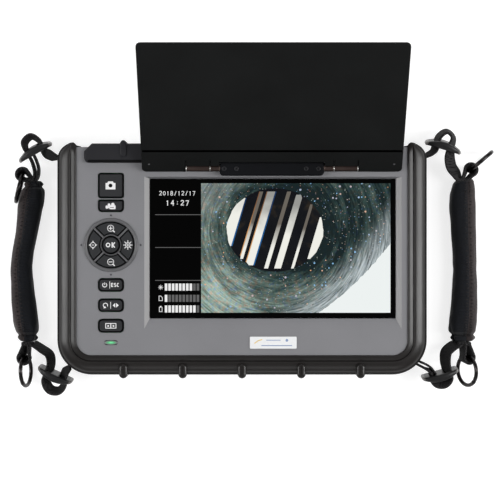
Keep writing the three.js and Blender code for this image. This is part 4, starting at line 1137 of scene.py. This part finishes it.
def spline(points, steps):
    """A centripetal Catmull-Rom curve through points of any size, sampled evenly in parameter."""
    pts = [tuple(2 * a - b for a, b in zip(points[0], points[1])), *points,
           tuple(2 * a - b for a, b in zip(points[-1], points[-2]))]
    out = []
    spans = len(points) - 1
    for n in range(steps + 1):
        u = min(n * spans / steps, spans - 1e-6)
        i = int(u)
        p0, p1, p2, p3 = pts[i:i + 4]
        knots = [0.0]
        for a, b in ((p0, p1), (p1, p2), (p2, p3)):
            knots.append(knots[-1] + max(math.dist(a[:3], b[:3]), 1e-6) ** 0.5)
        t0, t1, t2, t3 = knots
        t = t1 + (u - i) * (t2 - t1)

        def blend(a, b, ta, tb):
            return [x + (y - x) * (t - ta) / (tb - ta) for x, y in zip(a, b)]

        a1, a2, a3 = blend(p0, p1, t0, t1), blend(p1, p2, t1, t2), blend(p2, p3, t2, t3)
        out.append(blend(blend(a1, a2, t0, t2), blend(a2, a3, t1, t3), t1, t2))
    return out


def band_section(width, thick):
    """A woven tape's section: flat faces with rounded, slightly thinner edges."""
    w, t = width / 2, thick / 2
    return [(-w, -t * 0.35), (-w + 0.35, -t * 0.85), (-w + 1.1, -t), (0, -t), (w - 1.1, -t), (w - 0.35, -t * 0.85),
            (w, -t * 0.35), (w, t * 0.35), (w - 0.35, t * 0.85), (w - 1.1, t), (0, t), (-w + 1.1, t),
            (-w + 0.35, t * 0.85), (-w, t * 0.35)]


def ribbon(points, width, thick, steps):
    """Corners and faces of a band on edge; each point is x, y, z and a lean in degrees."""
    samples = spline(points, steps)
    up = Vector((0, 0, 1))
    rings = []
    for i, sample in enumerate(samples):
        here = Vector(sample[:3])
        ahead = Vector(samples[min(i + 1, steps)][:3])
        back = Vector(samples[max(i - 1, 0)][:3])
        along = (ahead - back).normalized()
        across = up - along * along.dot(up)
        across.normalize()
        side = along.cross(across)
        lean = math.radians(sample[3])
        u = across * math.cos(lean) + side * math.sin(lean)
        v = side * math.cos(lean) - across * math.sin(lean)
        w = width(i / steps) if callable(width) else width
        rings.append([tuple(here + u * a + v * b) for a, b in band_section(w, thick)])
    return skin(rings)


def join_parts(*parts):
    verts, faces = [], []
    for part_verts, part_faces in parts:
        base = len(verts)
        verts += part_verts
        faces += [tuple(base + i for i in face) for face in part_faces]
    return verts, faces


def ring_matrix(loop):
    """The ring's own frame: x along its pull, y along the rod where the loop holds it."""
    pull = Vector((*loop["pull"], 0)).normalized()
    lean = math.radians(loop["lean"])
    up = Vector((-pull.y * math.sin(lean), pull.x * math.sin(lean), math.cos(lean)))
    matrix = Matrix((pull, up, pull.cross(up))).transposed().to_4x4()
    matrix.translation = Vector((*loop["rod"], RING_Z))
    return matrix


def ring_loop(loop):
    """The small band that holds a ring: from the sewn end round the rod and back."""
    pull = Vector(loop["pull"]).normalized()
    to_sewn = Vector(loop["sewn"]) - Vector(loop["rod"])
    sx, sy = to_sewn.dot(pull), pull.x * to_sewn.y - pull.y * to_sewn.x
    base = math.atan2(sy, sx - 0.9)
    gap = math.radians(52)
    points = []
    for i in range(8):
        a = base + gap + (TAU - 2 * gap) * i / 7
        points.append((0.9 + 3.2 * math.cos(a), 3.2 * math.sin(a), 0, 16))
    ox, oy = -math.sin(base) * 1.05, math.cos(base) * 1.05
    points = [(sx + ox, sy + oy, -1, 8), *points, (sx - ox, sy - oy, -1, 8)]
    verts, faces = ribbon(points, 9, 1.9, 64)
    on_edge = Matrix.Rotation(-math.pi / 2, 3, "X")
    matrix = ring_matrix(loop)
    return [tuple(matrix @ (on_edge @ Vector(v))) for v in verts], faces


def make_ring(name, loop, node):
    """A welded ring: a round wire with a small bead where its ends meet."""
    matrix = ring_matrix(loop)
    verts, faces = [], []
    around, wire = 72, 16
    for i in range(around):
        a = TAU * i / around
        bead = 0.16 * math.exp(-((a - 0.7) / 0.05) ** 2) + 0.08 * math.exp(-((a - 0.62) / 0.03) ** 2)
        r = TUBE_R + bead
        for k in range(wire):
            b = TAU * k / wire
            reach = RING_R + r * math.cos(b)
            verts.append(tuple(matrix @ Vector((RING_R + reach * math.cos(a), reach * math.sin(a), r * math.sin(b)))))
            j, l = (i + 1) % around, (k + 1) % wire
            faces.append((i * wire + k, j * wire + k, j * wire + l, i * wire + l))
    piece(name, verts, faces, M["dark_steel"], node, [node], angle=60)


def make_buckle(name, spec, body, node):
    """A moulded tri-glide: an arched plate with two slots, a middle bar and thick rounded ends."""
    cx, cy, turn, crown, lean = spec
    steps, length, depth = 40, 24.6, 18.0
    rings = []
    for i in range(steps + 1):
        u = -1 + 2 * i / steps
        bow = 1.9 * (1 - u * u) - 0.5
        half = 0.9 + 1.6 * (1 - abs(u) ** 1.9) + 0.25 * math.exp(-((abs(u) - 0.92) / 0.05) ** 2)
        if abs(u) > 0.97:
            half *= 0.7
        d = depth / 2 - 2.2 * abs(u) ** 3 - 2.4 * (max(0.0, abs(u) - 0.8) / 0.2) ** 2
        upper = [(d, half * 0.4), (d - 0.5, half * 0.85), (d - 1.3, half), (1.3 - d, half), (0.5 - d, half * 0.85),
                 (-d, half * 0.4)]
        section = [(a, -b) for a, b in reversed(upper)] + upper
        rings.append([(u * length / 2, crown * (bow + b), a) for a, b in section])
    verts, faces = skin(rings)
    obj = piece(name, verts, faces, M["buckle"], body, [node], angle=34)
    cut(obj, [box_cutter(s * 5 - 2.1, -9, -6.6, s * 5 + 2.1, 9, 6.6) for s in (-1, 1)])
    add_bevel(obj, 0.3, 2, 40)
    bpy.context.view_layer.update()
    obj.modifiers.move(len(obj.modifiers) - 1, 0)
    apply_modifiers(obj)
    matrix = (Matrix.Translation(Vector((cx, cy, 16)) * MM) @ Matrix.Rotation(math.radians(turn), 4, "Z")
              @ Matrix.Rotation(math.radians(lean), 4, "X"))
    obj.data.transform(matrix)
    inverse = matrix.inverted()
    # The tips get the lighter plastic: painted highlight at the buckle's ends.
    tint(obj, M["buckle_end_highlight"], lambda polygon: abs((inverse @ polygon.center).x) > 10.6 * MM)
    smooth(obj, 40)


def make_strap_end(side, end, parts):
    body = f"strap_{side}"
    last = 0.0 if end == "top" else 1.0
    main = ribbon(parts["route"], lambda t: min(WEB_WIDTH, 5.2 + 60 * abs(t - last)), 1.7, 150)
    verts, faces = join_parts(main, ring_loop(parts["loop"]))
    piece(f"webbing_tape_{side}_{end}", verts, faces, M["web"], body, [f"webbing_{side}_{end}"], angle=50)
    if "tail" in parts:
        verts, faces = ribbon(parts["tail"], 10.6, 1.5, 40)
        piece(f"webbing_tail_{side}_{end}", verts, faces, M["web"], body, angle=50)
    x0, y0, x1, y1 = parts["tack"]
    outline = rounded_rect(x0 - 0.4, y0 - 0.5, x1 + 0.4, y1 + 0.5, 0.9, 4)
    soft_piece(f"webbing_fold_{side}_{end}", outline, RING_Z - 5.2, RING_Z + 3.4, 0.9, M["web"], body, "webbing",
               low_edge=0.6)
    make_buckle(f"tri_glide_{side}_{end}", parts["buckle"], body, f"buckle_{side}_{end}")
    make_ring(f"split_ring_{side}_{end}", parts["loop"], f"ring_{side}_{end}")


for side_name, strap in STRAPS.items():
    for end_name in ("top", "bottom"):
        make_strap_end(side_name, end_name, strap[end_name])


# ---------- grip pads ----------
PAD_AROUND = 64
PAD_ALONG = 150
PAD_SHRINK = 0.01
SIM_FRAMES = 20
SIM_CAP = 1.6


def pad_profile(strap):
    """Stations along a pad: centre x, y, half width and half height, with gathered or cut ends."""
    stations = spline([(x, y, w, 0) for x, y, w in strap["pad"]], PAD_ALONG)
    top_gathered, low_gathered = strap["gathered"]
    out = []
    for i, (x, y, w, _) in enumerate(stations):
        half, high = w / 2 * 1.03, PAD_HALF_Z
        for gathered, from_end in ((top_gathered, i), (low_gathered, PAD_ALONG - i)):
            share = from_end / PAD_ALONG
            if gathered:
                neck = math.exp(-((share - 0.055) / 0.02) ** 2)
                high *= 1 - 0.36 * neck - 0.3 * max(0.0, 1 - share / 0.15)
                half *= 1 - 0.16 * neck
                if share < 0.035:
                    half *= 0.9 + 0.1 * math.sin(math.pi / 2 * share / 0.035)
            elif share < 0.03:
                high *= 0.82 + 0.18 * math.sin(math.pi / 2 * share / 0.03)
                half *= 0.9 + 0.1 * math.sin(math.pi / 2 * share / 0.03)
        out.append((x, y, half, high))
    return out


def pad_mesh(strap):
    """The sleeve before it is filled, with lobed folds at its gathered ends."""
    stations = pad_profile(strap)
    top_gathered, low_gathered = strap["gathered"]
    rings = []
    for i, (x, y, half, high) in enumerate(stations):
        ring = []
        for k in range(PAD_AROUND):
            a = TAU * k / PAD_AROUND
            lobes = 0.0
            for gathered, from_end, phase in ((top_gathered, i, 0.4), (low_gathered, PAD_ALONG - i, 1.9)):
                share = from_end / PAD_ALONG
                if gathered and share < 0.2:
                    near_end, further = math.exp(-((share - 0.02) / 0.03) ** 2), math.exp(-((share - 0.1) / 0.06) ** 2)
                    depth = 0.13 * near_end + 0.05 * further
                    lobes += depth * math.cos(5 * a + phase) + 0.4 * depth * math.cos(9 * a + 2 * phase)
            r = (1 - PAD_SHRINK) * (1 + lobes)
            # A flattened oval: the sleeve lies round a flat band.
            c, s = math.cos(a), math.sin(a)
            drop = strap["slope"] * half * (c - 1) * max(0.0, 1 - i / 26)
            ring.append((x + half * r * math.copysign(abs(c) ** 0.85, c), y + drop,
                         PAD_Z + high * r * math.copysign(abs(s) ** 0.85, s)))
        rings.append(ring)
    # Rounded ends, drawn in to the band.
    for end, direction in ((0, 1), (-1, -1)):
        x, y, half, high = stations[end]
        edge = rings[end]
        extra = [[(x + (px - x) * inward, y + (py - y) * inward + direction * proud, PAD_Z + (pz - PAD_Z) * inward)
                  for px, py, pz in edge]
                 for inward, proud in ((0.93, 0.45), (0.78, 0.75), (0.5, 0.6), (0.2, 0.2))]
        rings = extra[::-1] + rings if end == 0 else rings + extra
    return skin(rings), len(rings)


def fill_with_cloth(obj, columns, ring_count):
    """Swells the sleeve between its seams with a short cloth simulation, and keeps the result."""
    group = obj.vertex_groups.new(name="held")
    held = [r * PAD_AROUND + c for r in range(ring_count) for c in columns]
    held += [r * PAD_AROUND + c for r in (*range(10), *range(ring_count - 10, ring_count)) for c in range(PAD_AROUND)]
    group.add(sorted(set(held)), 1.0, "REPLACE")
    before = [v.co.copy() for v in obj.data.vertices]
    cloth = obj.modifiers.new("cloth", "CLOTH")
    obj.modifiers.move(len(obj.modifiers) - 1, 0)
    settings = dict(quality=6, mass=0.2, tension_stiffness=14, compression_stiffness=8, bending_stiffness=0.6,
                    use_pressure=True, uniform_pressure_force=4.0, vertex_group_mass="held")
    for key, value in settings.items():
        setattr(cloth.settings, key, value)
    cloth.settings.effector_weights.gravity = 0
    cloth.point_cache.frame_start, cloth.point_cache.frame_end = 1, SIM_FRAMES
    scene = bpy.context.scene
    for number in range(1, SIM_FRAMES + 1):
        scene.frame_set(number)
    graph = bpy.context.evaluated_depsgraph_get()
    after = [v.co.copy() for v in obj.evaluated_get(graph).data.vertices]
    obj.modifiers.remove(cloth)
    scene.frame_set(1)
    limit = SIM_CAP * MM
    for vertex, start, end in zip(obj.data.vertices, before, after):
        move = end - start
        if move.length > limit:
            move *= limit / move.length
        vertex.co = start + move


def make_pad(side, strap):
    """A padded sleeve: knit below, bound above on its outer side, stitched along the seam between them."""
    (verts, faces), ring_count = pad_mesh(strap)
    seam, underseam = round(strap["seam"] / 360 * PAD_AROUND), round(0.75 * PAD_AROUND)
    pad = piece(f"grip_sleeve_{side}", verts, faces, M["knit"], f"strap_{side}", [f"grip_pad_{side}"],
                angle=180)
    fill_with_cloth(pad, (seam, underseam), ring_count)
    pucker_seams(pad, (seam, underseam), ring_count)
    if side == "left":
        bound = {*range(seam, PAD_AROUND // 2 + 9)}
    else:
        bound = {*range(seam), *range(PAD_AROUND - 9, PAD_AROUND)}
    tint(pad, M["binding"], lambda polygon: len(polygon.vertices) == 4
         and min(v % PAD_AROUND for v in polygon.vertices) in bound)
    soften = pad.modifiers.new("soft", "SUBSURF")
    soften.levels = soften.render_levels = 1
    pad.modifiers.move(len(pad.modifiers) - 1, 0)
    make_stitches(side, pad, seam, ring_count)


def pucker_seams(pad, columns, ring_count):
    """Draws the seam in, and puckers the fabric on both sides of it where the stitches pull."""
    vertices = pad.data.vertices
    seed = 7 if pad.name.endswith("left") else 3
    middles = [sum((vertices[r * PAD_AROUND + k].co for k in range(PAD_AROUND)), Vector()) / PAD_AROUND
               for r in range(ring_count)]
    for r, middle in enumerate(middles):
        fade = min(1.0, min(r, ring_count - 1 - r) / 14)
        for k in range(PAD_AROUND):
            vertex = vertices[r * PAD_AROUND + k]
            away, low = (min((k - column) % PAD_AROUND, (column - k) % PAD_AROUND) for column in columns)
            out = vertex.co - middle
            out.y = 0
            out.normalize()
            pull = 1.1 * math.exp(-((away / 1.1) ** 2)) + 0.5 * math.exp(-((low / 1.1) ** 2))
            ripple = math.sin(r * 2.1 + 0.6 * math.sin(r * 0.37)) * 0.3 * math.exp(-(((away - 3.4) / 3.0) ** 2)) * fade
            slow = 0.3 * noise.noise(Vector((k * 0.22, r * 0.11, seed)))
            vertex.co += out * (ripple + slow - pull) * MM


def make_stitches(side, pad, column, ring_count):
    """Thread stitches across the top seam, each laid on the sleeve."""
    def corner(r, k):
        return pad.data.vertices[r * PAD_AROUND + k % PAD_AROUND].co / MM

    stitches = []
    for r in range(9, ring_count - 9, 3):
        for shift in (-1, 1):
            a, b = corner(r, column + shift), corner(r, column + 3 * shift)
            across = (b - a).normalized()
            along = (corner(r + 1, column + shift) - a).normalized()
            up = across.cross(along).normalized()
            if up.z < 0:
                up = -up
            rings = []
            for t, rise in ((-0.1, 0.0), (0.15, 0.22), (0.5, 0.34), (0.85, 0.22), (1.1, 0.0)):
                middle = a.lerp(b, t * 0.8) + up * rise
                rings.append([tuple(middle + along * u + up * v) for u, v in oval(0, 0, 0.36, 0.24, 6)])
            stitches.append(skin(rings))
    verts, faces = join_parts(*stitches)
    piece(f"grip_stitches_{side}", verts, faces, M["thread"], f"strap_{side}", angle=80)


for side_name, strap in STRAPS.items():
    make_pad(side_name, strap)


# ---------- lid and hinge details ----------
HINGE_Y, HINGE_Z = 59.0, 45.6
KNUCKLE_R = 2.15
SCREW_Y = 58.6
LID_TILT = math.radians(44)


def on_lid(x, s, t):
    """A point of the lid's own frame: s from the hinge line to its free edge, t out of its inner face."""
    c, d = math.cos(LID_TILT), math.sin(LID_TILT)
    return x, HINGE_Y + s * c - t * d, HINGE_Z + s * d + t * c


def lid_piece(name, outline, t0, t1, edge, material):
    verts, faces = skin(soft_rings(outline, t0, t1, edge, steps=2))
    piece(name, [on_lid(*v) for v in verts], faces, material, "lid")


def washer(name, x, width, inner, outer, material, body):
    """A thin raised band round a hinge barrel."""
    rings = [[(x + width * at, y, z) for y, z in oval(HINGE_Y, HINGE_Z, r, r, 28)]
             for r, at in ((inner, 0), (outer - 0.06, 0), (outer, 0.2), (outer, 0.8), (outer - 0.06, 1), (inner, 1))]
    verts, faces = skin(rings, closed_ends=False)
    piece(name, verts, faces, material, body)


def make_lid_details():
    # A near-black sheet along the crease between panel and rail: painted shadow.
    lid_piece("lid_crease_shadow", rounded_rect(-64.2, 14.5, 103.2, 16.2, 0.3, 2), 0.7, 0.92, 0.04, M["gap"])
    for number, x in enumerate((-60.2, 98.6), 1):
        lid_piece(f"lid_pip_{number}", oval(x, 4.3, 0.65, 0.45, 16), 0.8, 1.05, 0.1, M["ring"])
    low = KNUCKLE_R - 0.2
    for number, (x0, x1) in enumerate(((-36.4, -20.6), (59.6, 75.4)), 1):
        for end, x in (("a", x0), ("b", x1 - 0.45)):
            washer(f"knuckle_band_{number}{end}", x, 0.45, low, KNUCKLE_R + 0.1, M["steel"], "lid")
    for number, x in enumerate((-20.3, -14.9, 53.5, 58.9), 1):
        washer(f"fixed_band_{number}", x, 0.35, low, KNUCKLE_R + 0.08, M["knuckle_light"], "housing")
    for number, x in enumerate((-11.6, -3.6, 41.6, 49.6), 1):
        screw = soft_piece(f"hinge_screw_{number}", oval(x, SCREW_Y, 1.5, 1.5, 28), 47.2, 48.24, 0.3, M["screw"],
                           "housing", "hinge_plastic", steps=3)
        cut(screw, [box_cutter(-w, -d, 47.95, w, d, 49, 0.5 + number, (x, SCREW_Y))
                    for w, d in ((1.0, 0.2), (0.2, 1.0))])


def tint_knuckles():
    """The barrels are bronze coloured; their leaves and the hinge block are dark."""
    for side in ("left", "right"):
        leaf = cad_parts[f"lid_knuckle_{side}"]

        def off_barrel(polygon):
            _, y, z = leaf.matrix_world @ polygon.center
            return math.hypot(y - HINGE_Y * MM, z - HINGE_Z * MM) > (KNUCKLE_R + 0.1) * MM

        tint(leaf, M["lid"], off_barrel)
    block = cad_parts["hinge_block"]
    tint(block, M["knuckle"], lambda polygon: not -14.55 * MM <= (block.matrix_world @ polygon.center).x <= 53.35 * MM)


make_lid_details()
tint_knuckles()
